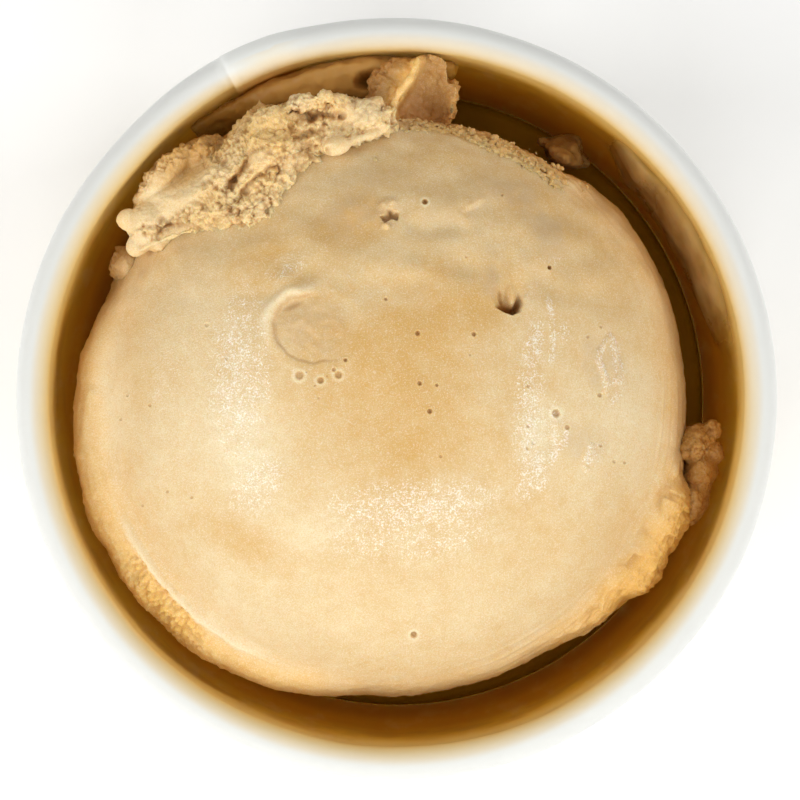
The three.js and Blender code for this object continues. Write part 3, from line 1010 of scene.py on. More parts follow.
def ledge_relief(plan, points, around, amount):
    """The left ledge's fold and torn strip, and the right ledge's broken planes."""
    side, share = beside(plan, LEDGE_FOLD)
    side = side + 0.45 * wavy(points, 3.4, 99) + 0.12 * wavy(points, 1.0, 100)
    along = ends_fade(share, 0.3)
    fold = bell(side, 0.50) * along
    rise = 0.09 * fold - 0.22 * ease(-side / 0.9) * bell(side, 3.0) * along * (side < 0)
    x, y, half_x, half_y, degrees = LEDGE_TORN
    pitted = ease(1.6 * mound(plan, (x, y), (half_x, half_y), degrees)) * ease((-side - 0.1) / 0.5)
    pits = ease((0.62 - knobs(points, 0.52, 97) * (0.75 + 0.3 * wavy(points, 1.6, 98))) / 0.5)
    rise += pitted * (0.22 * facets(points, 0.8, 96) - 0.15 - 0.38 * pits)
    torn_edge = ease((amount - 0.35) / 0.5)
    grit = facets(points, 0.55, 95)
    rise += torn_edge * (0.16 * wavy(points, 0.9, 94) + 0.15 * grit + 0.10 * wavy(points, 0.35, 92))
    planes = facets(points, 2.3, 194)
    right = (around > RIGHT_LEDGE) * ease((amount - 0.06) / 0.3)
    rise += right * (0.10 * planes + 0.10 * facets(points, 0.8, 195) + 0.36 * wavy(points, 2.0, 193))
    return rise, fold, pitted, pits, right * (0.5 + planes), grit * ease((amount - 0.2) / 0.4)


def make_scoop(sizes, cup):
    mesh = scoop_sphere(sizes)
    unit = read_points(mesh)
    points, out = dome_points(unit, sizes)
    around = heading(unit) % 360.0
    push = ledge_reach(around, points[:, 2]) * (1.0 + 0.10 * wavy(points, 3.0, 11))
    points[:, :2] += unit[:, :2] * (push / np.maximum(flat_length(unit), NEAR_AXIS))[:, None]
    points[:, 2] += LEDGE_LIFT * push / LEDGE_LIFT_AT * ease((points[:, 2] - 40.5) / 3.5)
    plan = plan_of(points)
    strip, limit = torn_strip(plan)
    rise, dark = skin_relief(plan, points)
    amount = push / LEDGE_FULL
    shelf, fold, pitted, pits, planes, grit = ledge_relief(plan, points, around, amount)
    rise += shelf
    rise *= 1.0 - strip * (unit[:, 2] > 0)
    # The edge where the scoop tore off its tool is finely ragged low down.
    low = bell(points[:, 2] - mm(sizes.equator_height) + 1.0, 6.0)
    ragged = 0.16 * wavy(points, 0.8, 21) + 0.10 * wavy(points, 0.4, 22)
    rise += low * ragged * np.where(plan[:, 0] > 20, 0.6, 1.0)
    reach = apart(plan, *SCOOP_CENTRE)
    upper_edge = ease((around - 12.0) / 14.0) * ease((56.0 - around) / 8.0)
    lower_edge = ease((around - RIGHT_LEDGE) / 16.0) + ease((8.0 - around) / 8.0)
    left_edge = 0.7 * ease((around - 185.0) / 12.0) * ease((262.0 - around) / 16.0)
    wrinkled = ease((reach - 26.4) / 1.2) * np.minimum(upper_edge + lower_edge + left_edge, 1.0)
    lines = np.sin(reach * 9.0 + 2.2 * wavy(points, 5.0, 28))
    lines += 0.6 * np.sin(reach * 17.0 + 2.0 * wavy(points, 3.0, 29))
    rise += 0.045 * wrinkled * lines * (0.5 + 0.5 * ease(0.5 + wavy(points, 4.0, 30))) * (unit[:, 2] > 0)
    crumbly = knobs(points, 0.6, 23)
    rise += strip * (0.26 * (crumbly - 0.75) + 0.22 * wavy(points, 1.6, 24) + 0.10 * wavy(points, 0.4, 25))
    points += out * rise[:, None]
    # Along the torn strip the scoop ends in a ragged, upright face.
    off = points[:, :2] - np.array(SCOOP_CENTRE)
    face = (limit + 0.35 * wavy(points, 1.3, 26) + 0.2 * wavy(points, 0.5, 27)) * sight(points[:, 2])
    pull = np.where(strip > 0.05, np.minimum(1.0, face / np.maximum(flat_length(off), NEAR_AXIS)), 1.0)
    points[:, :2] = np.array(SCOOP_CENTRE) + off * pull[:, None]
    points = keep_in_cup(points, cup, SCOOP_WALL_GAP)
    points[:, 2] = np.maximum(points[:, 2], cup.floor + SCOOP_FLOOR_GAP)
    write_points(mesh, points)
    # Painted shade: between the torn strip's crumbs, in the left ledge's pits, on sunken facets, over the
    # right ledge, on the grit's low parts and under the ledges.
    broken = ease(-planes)
    right = amount * (around > RIGHT_LEDGE)
    dark = np.maximum(dark, strip * ease((0.7 - crumbly) / 0.6) * 0.5 + strip * 0.14)
    dark = np.maximum(dark, np.maximum(0.30 * pitted * pits, 0.30 * broken + 0.42 * right))
    dark += 0.11 * ease(-1.5 * grit)
    under = ease((42.0 - points[:, 2]) / 4.0) * ease(amount / 0.3)
    # Paler on the left ledge's fold, on raised facets and grit and over the ledges: painted highlight and
    # painted light; darker over the right ledge: painted shade.
    pale = scoop_frost(plan) - 0.3 * strip - 0.05 * pitted + 0.35 * fold + 0.20 * ease(planes) + 0.20 * amount
    pale += 0.35 * grit - 0.60 * right
    paint(mesh, hollow=np.maximum(dark, 0.05 * under), frost=pale, torn=np.maximum(low * 0.5, strip))
    paint(mesh, sheen=scoop_sheen(plan), chill=patches(plan, CHILL_PATCHES))
    # Painted glow: golden at the scoop's outer edge, on the thin ledges and in the left ledge's pits, less on
    # its pale fold.
    edge = ease((reach - 27.4 - 0.7 * wavy(points, 2.5, 31)) / 3.2)
    edge *= ease((around - 140.0) / 30.0) * ease((352.0 - around) / 12.0)
    thin = ease((amount - 0.4) / 0.5) * (0.5 + 0.5 * wavy(points, 1.6, 32))
    left = amount - right
    paint(mesh, gold=0.30 * edge + 0.25 * thin + 0.30 * pitted + 0.60 * right + 0.32 * left - 0.3 * fold)
    return mesh


# Paler patches (positive) and deeper ones (negative): partly the skin's own frosted and wet tone, partly
# painted sheen on the lower, left and right sides and the ledges, and painted shade over the upper back: x,
# y, half sizes, angle, strength.
FROST_PATCHES = (
    (-19.0, -3.0, 10.0, 17.0, 0, 0.16), (-15.0, -5.0, 5.0, 8.0, 15, 0.3),
    (-15.5, -14.5, 7.0, 2.6, -25, -0.34), (-8.5, -13.0, 6.5, 3.2, 0, 0.26),
    (-1.5, 2.5, 12.0, 8.0, 10, -0.34), (2.0, -6.0, 8.0, 3.4, 20, -0.2), (6.0, 10.0, 8.5, 5.0, 0, -0.28),
    (-9.0, 16.0, 10.0, 5.0, 20, -0.18), (17.5, 14.0, 9.0, 6.5, -30, -0.2), (19.5, -3.0, 8.0, 9.0, 0, 0.18),
    (13.5, -3.0, 3.0, 4.5, 0, 0.3), (-31.4, -7.0, 1.8, 12.0, 10, 0.5), (-24.8, -19.6, 9.5, 2.6, -50, 0.3),
    (0.0, -20.0, 20.0, 8.0, 0, 0.12), (8.8, 9.6, 2.6, 3.0, 0, -0.22), (10.8, 12.0, 2.4, 3.4, 0, -0.28),
    (23.5, -19.0, 5.0, 3.6, 45, -0.45), (12.5, 19.5, 4.0, 2.0, 10, -0.25), (-8.4, 7.4, 4.0, 3.2, 0, -0.1),
    (-21.0, 9.0, 7.0, 4.0, 50, 0.1), (4.5, 22.5, 10.0, 3.0, 0, -0.12), (-4.5, 17.6, 5.0, 3.4, 20, -0.3),
    (-16.0, -20.0, 9.0, 5.0, -50, 0.25), (24.3, -2.2, 3.0, 9.0, 0, 0.22), (-28.6, 0.0, 2.4, 10.0, 0, 0.25),
    (-9.6, 13.9, 3.4, 1.8, 25, 0.22), (0.3, 6.9, 5.0, 2.4, 0, -0.12), (0.3, -4.0, 4.0, 3.0, 0, -0.12),
)


def scoop_frost(plan):
    frost = patches(plan, FROST_PATCHES, 0.42)
    # Paler rings round the larger burst bubbles.
    for x, y, radius, _, _ in PORES:
        if radius > 0.25:
            away = apart(plan, x, y) / radius
            frost += 0.45 * bell(away - 1.7, 0.45)
    # A painted highlight along the dent's raised lip.
    inward, share = beside(plan, DENT_EDGE)
    frost += 0.5 * bell(inward + 0.6, 0.5) * ease(share / 0.1) * ease((0.55 - share) / 0.2)
    return frost


# Cool, greyish places in the skin: x, y, half sizes, angle, strength.
CHILL_PATCHES = (
    (-8.3, 7.0, 4.4, 3.6, 0, 0.42), (12.2, 19.8, 3.6, 2.0, -20, 0.55), (15.4, 16.4, 2.6, 3.0, 20, 0.45),
    (19.6, 3.6, 1.3, 3.2, 10, 0.45), (18.6, -4.2, 2.6, 2.4, 0, 0.35), (21.6, 3.2, 1.6, 3.0, 0, 0.25),
    (6.0, 18.6, 4.0, 1.6, 10, 0.25), (9.3, 12.0, 1.2, 2.4, 10, 0.45), (-3.5, 21.8, 4.0, 1.8, 10, 0.2),
    (23.0, -14.5, 3.6, 2.4, 50, 0.2), (2.5, 10.5, 3.5, 2.0, 0, 0.15), (-4.5, 18.0, 4.6, 2.6, 15, 0.55),
)

# Patches of painted glints where the lamps' reflections fall, painted white into the colour, with lower
# roughness and stronger bumps: x, y, half sizes, angle, strength.
SHEEN_PATCHES = (
    (-15.6, 2.4, 10.8, 3.9, 88, 1.1), (-14.0, -8.6, 4.4, 3.0, 60, 1.0), (1.5, -9.9, 12.0, 2.6, 3, 0.9),
    (1.5, -13.4, 12.0, 4.0, 3, 0.7), (-23.0, 2.0, 5.0, 2.4, 80, 0.4), (13.2, -1.4, 9.6, 2.0, 87, 1.0),
    (13.9, 6.2, 2.8, 1.0, 84, 1.0), (16.7, 6.6, 1.3, 0.8, 100, 1.0), (15.6, 13.9, 1.2, 0.6, 0, 0.8),
    (15.6, -2.6, 3.4, 1.2, 80, 0.8), (14.0, -7.4, 4.4, 1.5, 62, 0.9), (19.6, -5.6, 2.6, 1.0, 60, 0.7),
    (22.0, 3.4, 3.6, 0.8, 98, 0.8), (-11.0, 13.0, 3.0, 1.4, 30, 0.7),
)
# Lines of painted glints along the drips and folds.
SHEEN_LINES = (
    ((15.1, 10.6), (15.4, 8.5), (15.6, 6.0), (15.4, 3.5)), DRIP_LEFT, DRIP_RIGHT, LOWER_DRIP,
    ((21.1, 0.2), (21.5, -0.3), (22.1, 0.6)), ((14.3, -9.5), (15.0, -6.5), (16.6, -4.6), (17.0, -3.0)),
)


def scoop_sheen(plan):
    sheen = patches(plan, SHEEN_PATCHES)
    for line in SHEEN_LINES:
        sheen += 2.4 * stroke(plan, line, 0.26, 0.06)
    return sheen


# ---------------------------------------------------------------- torn pieces

def add_lump(bm, place, half, degrees=0.0, lean=0.0, fineness=3):
    """An oval lump at a place given by plan x, plan y and height; half sizes are radial, along and up."""
    x, y, z = place
    spread = sight(z)
    spin = Euler((0.0, math.radians(lean), math.radians(degrees))).to_matrix().to_4x4()
    where = Matrix.Translation((x * spread, y * spread, z)) @ spin @ Matrix.Diagonal((*half, 1.0))
    bmesh.ops.create_icosphere(bm, subdivisions=fineness, radius=1.0, matrix=where)


def add_lumps(bm, table):
    for place, half, degrees in table:
        add_lump(bm, place, half, degrees)


BAND_CORNERS = 14
BAND_SQUARE = 0.6


def squared(value):
    """A sine or cosine made squarer, from 0 to 1."""
    return 0.5 + 0.5 * math.copysign(abs(value) ** BAND_SQUARE, value)


def add_band(bm, stations, step=2.0):
    """A mass that runs round the cup through stations of direction, radii, tops and foot."""
    table = np.array(stations, float)
    table = table[np.argsort(table[:, 0])]
    start, end = table[0, 0], table[-1, 0]
    steps = max(2, round((end - start) / step))
    # A thin ring of radius 1 is spun first, and its corners are then put in place.
    section = np.linspace(0.0, math.tau, BAND_CORNERS, endpoint=False)
    first = [bm.verts.new((1.0 + 0.1 * math.cos(t), 0.0, 0.1 * math.sin(t))) for t in section]
    edges = [bm.edges.new(pair) for pair in zip(first, first[1:] + first[:1])]
    bmesh.ops.rotate(bm, verts=first, cent=(0, 0, 0), matrix=Matrix.Rotation(math.radians(start), 3, "Z"))
    made = bmesh.ops.spin(
        bm, geom=first + edges, axis=(0, 0, 1), cent=(0, 0, 0),
        angle=math.radians(end - start), steps=steps, use_merge=False, use_duplicate=False,
    )
    last = [item for item in made["geom_last"] if isinstance(item, bmesh.types.BMEdge)]
    bmesh.ops.holes_fill(bm, edges=edges + last, sides=0)
    verts = {vert for face in bm.faces for vert in face.verts if 0.85 < vert.co.length < 1.15}
    for vert in verts:
        degrees = math.degrees(math.atan2(vert.co.y, vert.co.x))
        degrees = start + (degrees - start) % 360.0
        if degrees > end + 1.0:
            degrees -= 360.0
        sizes = [np.interp(degrees, table[:, 0], column) for column in table.T[1:]]
        inner, outer, top_in, top_out, foot = sizes
        t = math.atan2(vert.co.z, math.hypot(vert.co.x, vert.co.y) - 1.0)
        across = squared(math.cos(t))
        up = squared(math.sin(t))
        radius = inner + (outer - inner) * across
        top = top_in + (top_out - top_in) * across
        a = math.radians(degrees)
        vert.co = (radius * math.cos(a), radius * math.sin(a), foot + (top - foot) * up)


def fuse(bm, name, voxel, passes):
    """Melts overlapping lumps into one closed skin with even, small faces."""
    rough = bpy.data.objects.new(name, as_mesh(bm, name + "_lumps"))
    bpy.context.scene.collection.objects.link(rough)
    remesh = rough.modifiers.new("skin", "REMESH")
    remesh.mode = "VOXEL"
    remesh.voxel_size = voxel
    graph = bpy.context.evaluated_depsgraph_get()
    mesh = bpy.data.meshes.new_from_object(rough.evaluated_get(graph))
    bpy.data.objects.remove(rough)
    bm = opened(mesh)
    for _ in range(passes):
        bmesh.ops.smooth_vert(
            bm, verts=bm.verts, factor=0.5, use_axis_x=True, use_axis_y=True, use_axis_z=True
        )
    bmesh.ops.triangulate(bm, faces=bm.faces)
    return solid_mesh(bm, name)


FACES_UP = 0.25


def finer(mesh, low):
    """Halves the edges of a skin's upward faces above a height."""
    bm = opened(mesh)
    shown = [vert.co.z > low and vert.normal.z > FACES_UP for vert in bm.verts]
    bm.verts.index_update()
    split_edges(bm, [all(shown[vert.index] for vert in edge.verts) for edge in bm.edges])
    return solid_mesh(bm, mesh.name)


def keep_in_cup(points, cup, gap=0.12):
    """Holds points inside the wall."""
    room = cup.inner_face(heading(points), points[:, 2]) - gap
    points[:, :2] *= np.minimum(1.0, room / np.maximum(flat_length(points), NEAR_AXIS))[:, None]
    return points


# The crest's run round the cup: degrees, inner and outer radius, inner and outer top, foot.
CREST_RUN = (
    (90.0, 26.6, 28.6, 50.1, 48.5, 42.5), (95.0, 25.6, 29.8, 51.0, 49.5, 41.5),
    (100.0, 25.2, 31.0, 51.7, 50.3, 40.5), (105.0, 24.9, 31.4, 52.1, 51.1, 39.5),
    (111.0, 24.2, 31.5, 52.7, 51.5, 39.0), (116.0, 22.8, 32.3, 54.0, 51.7, 38.5),
    (121.0, 21.5, 31.7, 55.1, 51.3, 38.5), (126.0, 20.8, 31.0, 55.5, 50.9, 38.5),
    (131.0, 21.3, 31.0, 55.1, 50.7, 38.5), (136.0, 23.4, 31.6, 53.1, 50.2, 39.5),
    (141.0, 26.0, 32.6, 50.7, 49.3, 41.5), (146.0, 27.6, 32.4, 49.7, 48.5, 42.5),
)

CREST_LUMPS = (
    # the two small lobes at the left end
    ((-26.9, 17.9, 48.4), (1.1, 1.1, 0.9), 145),
    ((-25.9, 15.3, 48.3), (1.1, 1.2, 1.0), 150),
    ((-24.4, 17.2, 48.5), (2.5, 2.4, 1.7), 145),
    # the shelf low down behind the cut face
    ((-19.4, 24.6, 46.1), (1.6, 2.6, 3.2), 128),
    ((-22.8, 22.4, 46.6), (1.4, 4.6, 2.8), 135),
    # the boulder and the pale lump beside it
    ((-12.6, 27.6, 51.6), (1.7, 2.3, 1.4), 116),
    ((-12.6, 24.4, 52.5), (2.4, 2.6, 1.5), 117),
    # the granular heap along the top
    ((-9.6, 29.4, 51.5), (1.1, 1.7, 1.1), 108),
    ((-7.4, 29.8, 51.5), (1.0, 1.6, 1.0), 104),
    ((-5.6, 29.0, 51.0), (1.6, 1.2, 0.9), 100),
    ((-3.0, 28.2, 50.3), (1.8, 2.6, 1.0), 97),
    # the pale smooth blob and the tail beside it
    ((-5.95, 25.2, 52.0), (0.95, 1.45, 0.9), 103),
    ((-2.4, 23.6, 51.3), (0.5, 1.5, 0.5), 95),
    # the brown lump that hangs under the lobes
    ((-26.8, 13.4, 41.9), (1.8, 2.0, 3.4), 153),
)

# Rounded pale lips drawn along the crest: points as plan x, plan y and height, then thickness.
CREST_LIPS = (
    (((-25.6, 14.8, 49.2), (-24.2, 15.5, 50.0), (-22.2, 16.3, 50.9), (-20.4, 16.9, 51.4)), 0.24),
    (((-4.6, 25.7, 51.7), (-2.6, 26.3, 51.0), (-0.6, 27.1, 50.3), (-0.4, 28.6, 49.9)), 0.42),
)

# Pits torn out of the crest: plan x, plan y, radius, depth.
CREST_PITS = (
    (-16.3, 22.0, 0.7, 1.0), (-10.2, 28.6, 0.6, 1.1), (-8.4, 28.0, 0.7, 1.2), (-6.7, 29.2, 0.5, 1.0),
    (-8.9, 24.9, 1.3, 0.8), (-23.4, 17.9, 0.9, 0.5), (-18.0, 17.9, 1.1, 0.5), (-16.4, 17.1, 0.8, 0.5),
    (-12.9, 22.3, 0.7, 0.5), (-14.9, 24.6, 0.7, 0.5), (-5.4, 28.1, 0.6, 0.7), (-11.6, 22.8, 0.6, 0.6),
)

# Zones of the crest that stay smooth: x, y, half sizes, angle, how smooth.
CREST_SMOOTH = (
    (-26.9, 17.9, 1.8, 1.7, 0, 0.9), (-25.9, 15.2, 1.9, 1.6, 0, 0.95), (-5.95, 25.2, 1.9, 1.4, 0, 1.0),
    (-22.2, 20.9, 5.6, 2.6, 42, 0.9), (-12.6, 27.2, 2.0, 1.8, 0, 0.5), (-26.6, 13.4, 2.0, 2.2, 0, 0.8),
    (-3.4, 28.6, 2.6, 1.6, 20, 0.6), (-23.0, 16.0, 2.8, 0.7, 28, 0.8), (-2.5, 26.5, 2.6, 0.7, 20, 0.9),
)

# Cracks between the crest's lumps: drawn lines, then half width and depth.
CREST_CRACKS = (
    (((-17.6, 20.2), (-16.3, 21.6), (-15.2, 23.2), (-14.4, 24.9)), 0.34, 1.0),
    (((-16.6, 19.3), (-15.4, 20.2), (-14.8, 21.4), (-12.6, 23.0), (-10.4, 23.4)), 0.26, 0.7),
    (((-19.6, 22.2), (-18.6, 20.6), (-18.9, 18.6)), 0.5, 0.35),
    (((-11.2, 26.4), (-9.8, 26.0), (-8.6, 26.8), (-7.3, 26.3)), 0.30, 0.6),
    (((-10.9, 29.4), (-9.4, 28.3), (-7.6, 28.5), (-5.9, 28.2), (-4.9, 27.4)), 0.36, 0.9),
    (((-8.2, 24.3), (-7.0, 24.4), (-6.6, 25.6)), 0.22, 0.6),
)


LUMPS_A_SPAN = 8


def add_lip(bm, points, thick):
    """A rounded bead along a drawn line."""
    line = np.array(points, float)
    spans = len(line) - 1
    for at in np.linspace(0.0, spans, LUMPS_A_SPAN * spans + 1):
        place = [float(np.interp(at, range(len(line)), line[:, k])) for k in range(3)]
        wobble = 1.0 + 0.18 * math.sin(at * 7.3)
        add_lump(bm, place, (thick * wobble,) * 3, fineness=2)


def roughen(mesh, cup, grain, smooth_zones, strength, seed):
    """Breaks a smooth mass into granules, except in its smooth zones, and gives the painted shade between its
    granules.
    """
    points = read_points(mesh)
    normals = read_normals(mesh)
    plan = plan_of(points)
    torn = np.ones(len(points))
    for x, y, half_x, half_y, degrees, share in smooth_zones:
        torn *= 1.0 - share * ease(1.6 * np.sqrt(mound(plan, (x, y), (half_x, half_y), degrees)))
    clumps = knobs(points, grain * 2.6, seed + 1)
    kernels = knobs(points, grain * 1.15, seed + 2)
    broad = wavy(points, 3.4, seed + 3)
    middling = wavy(points, 1.4, seed + 4)
    fine = wavy(points, 0.45, seed + 5)
    crumbly = 0.45 + 0.55 * ease(0.5 + wavy(points, 2.6, seed + 6))
    rise = 0.42 * broad + 0.26 * middling + grain * 0.75 * (clumps - 0.6) * crumbly
    rise += (grain * 0.65 * (kernels - 0.65) + 0.15 * fine + 0.11 * wavy(points, 0.22, seed + 7)) * crumbly
    rise += 0.50 * facets(points, grain * 2.4, seed + 8) * crumbly
    rise = strength * torn * rise + 0.10 * middling * (1 - torn) + 0.03 * fine
    points = points + normals * rise[:, None]
    # Painted shade between the granules.
    hollow = ease((0.62 - 0.5 * clumps - 0.5 * kernels) / 0.5) * torn * crumbly
    return keep_in_cup(points, cup), plan, torn, hollow


def make_crest(sizes, cup):
    grain = mm(sizes.crest_grain)
    bm = bmesh.new()
    add_band(bm, CREST_RUN)
    add_lumps(bm, CREST_LUMPS)
    for points, thick in CREST_LIPS:
        add_lip(bm, points, thick)
    mesh = finer(fuse(bm, "crest_skin", voxel=0.185, passes=2), low=46.0)
    points, plan, torn, hollow = roughen(mesh, cup, grain, CREST_SMOOTH, strength=1.0, seed=30)
    warped = plan + 0.35 * columns(wavy(points, 0.9, 51), wavy(points, 0.9, 52))
    drop = np.zeros(len(points))
    for x, y, radius, depth in CREST_PITS:
        drop += depth * mound(warped, (x, y), (radius, radius * 0.8), 30)
    for line, half, depth in CREST_CRACKS:
        drop += depth * stroke(warped, line, half, 0.25)
    drop *= ease((points[:, 2] - 44.0) / 2.0)
    points[:, 2] -= drop
    write_points(mesh, points)
    # Painted shade on the crest's back flank, on the boulder, low down and in its pits and cracks; more
    # golden there too.
    flank = mound(plan, (-20.2, 24.2), (5.4, 2.4), 42)
    low = ease((48.0 - points[:, 2]) / 5.0)
    dark = np.maximum(np.maximum(hollow * 0.7, 0.62 * ease(drop)), 0.30 * low + 0.46 * np.sqrt(flank))
    boulder = np.sqrt(mound(plan, (-12.6, 26.8), (3.2, 3.0)))
    deeper = 0.50 * np.sqrt(flank) + 0.42 * boulder
    gold = 0.23 + 0.2 * wavy(points, 3.0, 53) + 0.3 * deeper
    paint(mesh, hollow=dark, frost=0.55 + 0.20 * (1 - torn) - deeper - 0.2 * low, gold=gold, torn=torn)
    return mesh


SCRAPED_LUMPS = (
    ((2.1, 30.4, 45.0), (3.2, 2.6, 5.2), 84), ((3.9, 29.2, 44.6), (2.5, 1.9, 4.9), 84),
    ((3.6, 32.0, 45.6), (1.7, 1.5, 4.6), 60), ((3.2, 33.3, 47.4), (1.0, 1.9, 3.0), 86),
    ((5.2, 30.2, 44.4), (1.7, 0.8, 4.4), 70), ((-1.2, 28.4, 46.2), (3.0, 1.9, 3.2), 96),
    ((-0.8, 30.9, 45.4), (2.4, 2.2, 3.4), 94), ((0.4, 32.7, 46.2), (1.3, 2.0, 2.8), 90),
)

SCRAPED_RIDGE = (
    (2.2, 33.8, 50.2), (1.3, 31.9, 50.2), (0.3, 30.5, 49.9), (-0.4, 29.3, 49.5), (-0.7, 28.1, 49.0),
    (-0.4, 27.0, 48.8), (-1.8, 26.2, 49.0), (-4.3, 25.6, 49.8),
)

SCRAPED_SMOOTH = (
    (2.8, 30.4, 3.0, 4.2, -20, 0.7), (-0.6, 29.8, 1.6, 4.4, -14, 0.7), (1.4, 32.6, 2.4, 2.4, 0, 0.6),
)

# The spoon's hollow in the scraped end: plan centre, lowest height, half sizes and how it rises.
SPOON_CENTRE = (3.0, 28.6)
SPOON_LOW = 45.2
SPOON_HALF = (3.9, 5.6)
SPOON_DEPTH = 5.6


def make_scraped_end(sizes, cup):
    grain = mm(sizes.crest_grain)
    bm = bmesh.new()
    add_lumps(bm, SCRAPED_LUMPS)
    add_lip(bm, SCRAPED_RIDGE, 0.42)
    mesh = fuse(bm, "scraped_skin", voxel=0.15, passes=4)
    points = read_points(mesh)
    plan = plan_of(points)
    ridge = [place[:2] for place in SCRAPED_RIDGE]
    side, _ = beside(plan, ridge)
    x = (plan[:, 0] - SPOON_CENTRE[0]) / SPOON_HALF[0]
    y = (plan[:, 1] - SPOON_CENTRE[1]) / SPOON_HALF[1]
    bowl = SPOON_LOW + SPOON_DEPTH * (x * x + y * y) * 0.55
    carved = np.minimum(points[:, 2], bowl)
    points[:, 2] += (carved - points[:, 2]) * ease((side - 0.35) / 0.5)
    write_points(mesh, points)
    points, plan, torn, hollow = roughen(mesh, cup, grain, SCRAPED_SMOOTH, strength=0.8, seed=60)
    write_points(mesh, points)
    side, _ = beside(plan, ridge)
    # Painted shade on the scraped face, which faces away from the lamps, over its browner wet tone and
    # deepest low down; darker on the slope left of the ridge; a painted highlight and golden glow along the
    # ridge.
    scraped = ease((side - 0.3) / 0.5)
    deep = scraped * ease((33.4 - plan[:, 1] - 0.9 * (plan[:, 0] - 2.6)) / 5.0)
    mottled = 0.16 * wavy(points, 0.9, 68) + 0.14 * wavy(points, 0.35, 69)
    slope = (1 - scraped) * ease((-side - 0.5) / 1.6)
    dark = (0.46 + mottled) * scraped + 0.42 * deep + 0.62 * slope
    paint(mesh, hollow=np.maximum(hollow * (1 - scraped), dark), gold=0.55 * bell(side + 0.6, 0.9))
    paint(mesh, frost=0.15 * bell(side, 0.5) - 0.40 * scraped, torn=torn)
    return mesh


# Melt smeared between the crest and the wall: degrees, inner and outer radius, inner and outer top, foot.
SMEAR_RUN = (
    (80.0, 33.0, 34.4, 42.0, 44.0, 38.0), (85.0, 30.6, 34.5, 42.6, 46.4, 36.0),
    (90.0, 29.4, 34.6, 43.0, 47.6, 36.0), (95.0, 28.8, 34.6, 43.2, 48.0, 36.0),
    (101.0, 28.8, 34.6, 43.2, 47.9, 36.0), (106.0, 29.0, 34.5, 42.8, 47.4, 36.0),
    (111.0, 29.4, 34.5, 42.4, 46.6, 36.0), (116.0, 30.0, 34.4, 41.6, 45.4, 37.0),
    (121.0, 31.0, 34.4, 40.6, 44.0, 37.0), (127.0, 32.4, 34.3, 40.0, 42.0, 38.0),
)


def make_wall_smear(cup):
    bm = bmesh.new()
    add_band(bm, SMEAR_RUN)
    mesh = fuse(bm, "smear_skin", voxel=0.2, passes=3)
    points = read_points(mesh)
    normals = read_normals(mesh)
    plan = plan_of(points)
    rise = 0.30 * wavy(points, 2.6, 71) + 0.18 * wavy(points, 1.1, 72) + 0.05 * wavy(points, 0.5, 73)
    points = points + normals * rise[:, None]
    pocket = mound(plan, (-2.7, 31.9), (1.9, 1.2), 15)
    points[:, 2] -= 2.4 * pocket * ease((points[:, 2] - 40.0) / 4.0)
    write_points(mesh, keep_in_cup(points, cup))
    radius = flat_length(points)
    # Painted shade in the pocket and towards the crest, where the smear drops into the gap.
    dark = np.maximum(0.7 * ease(pocket * 1.6), 0.28 + 0.36 * ease((33.4 - radius) / 3.5))
    paint(mesh, hollow=dark, frost=0.10 * wavy(points, 2.2, 74), body=1.0)
    return mesh


CHUNK_LUMPS = (
    ((29.9, -4.6, 41.0), (1.9, 2.2, 3.0), -8), ((30.2, -7.4, 40.6), (1.8, 2.4, 3.2), -14),
    ((31.4, -3.0, 41.6), (0.9, 1.0, 1.2), -5), ((31.7, -5.4, 41.0), (0.9, 1.3, 1.6), -10),
    ((29.5, -10.2, 40.6), (1.6, 2.4, 3.0), -20), ((28.9, -10.8, 42.6), (0.7, 1.5, 0.8), -20),
    ((28.8, -5.2, 43.0), (0.6, 0.9, 0.7), -10),
)


def make_chunk(sizes, cup):
    grain = mm(sizes.crest_grain) * 0.8
    bm = bmesh.new()
    add_lumps(bm, CHUNK_LUMPS)
    mesh = finer(fuse(bm, "chunk_skin", voxel=0.18, passes=1), low=40.0)
    points, plan, torn, hollow = roughen(mesh, cup, grain, (), strength=0.45, seed=120)
    drop = 0.9 * mound(plan, (28.4, -6.7), (0.7, 0.9))
    points[:, 2] -= drop
    points += read_normals(mesh) * 0.28 * wavy(points, 1.3, 129)[:, None]
    write_points(mesh, keep_in_cup(points, cup))
    # Painted shade over the chunk, which sits low in the gap, less on one pale lump with a painted highlight;
    # a golden glow over it.
    pale = np.sqrt(mound(plan, (28.9, -10.8), (1.2, 2.2), -20))
    paint(mesh, hollow=np.maximum(hollow * 0.5, 0.7 * ease(drop)) + 0.60 - 0.46 * pale)
    paint(mesh, gold=0.50 + 0.3 * wavy(points, 1.6, 128) + 0.2 * pale, frost=0.7 * pale, torn=torn)
    return mesh


# Larger crumbs along the torn strip: plan place, then half sizes.
CRUMB_LUMPS = (
    ((5.7, 26.8), (0.55, 0.45, 0.35)), ((7.3, 26.8), (0.4, 0.5, 0.3)), ((10.0, 25.7), (0.5, 0.6, 0.4)),
    ((11.2, 25.5), (0.4, 0.3, 0.4)), ((13.4, 24.7), (0.4, 0.3, 0.5)), ((15.2, 23.6), (0.5, 0.5, 0.4)),
    ((16.1, 23.0), (0.4, 0.5, 0.4)), ((18.6, 21.0), (0.4, 0.35, 0.35)),
)
GRAINS_A_CRUMB = 5
LOOSE_GRAINS = 420


def dome_height_at(x, y, sizes):
    """Height of the plain dome under a place on the rim's plane, closed in on in a few rounds."""
    radius, up, middle = mm(sizes.scoop_radius), mm(sizes.dome_height), mm(sizes.equator_height)
    height = middle
    for _ in range(4):
        away = math.hypot(x * sight(height) - SCOOP_CENTRE[0], y * sight(height) - SCOOP_CENTRE[1])
        height = middle + up * math.sqrt(max(0.0, 1.0 - (away / radius) ** 2))
    return height


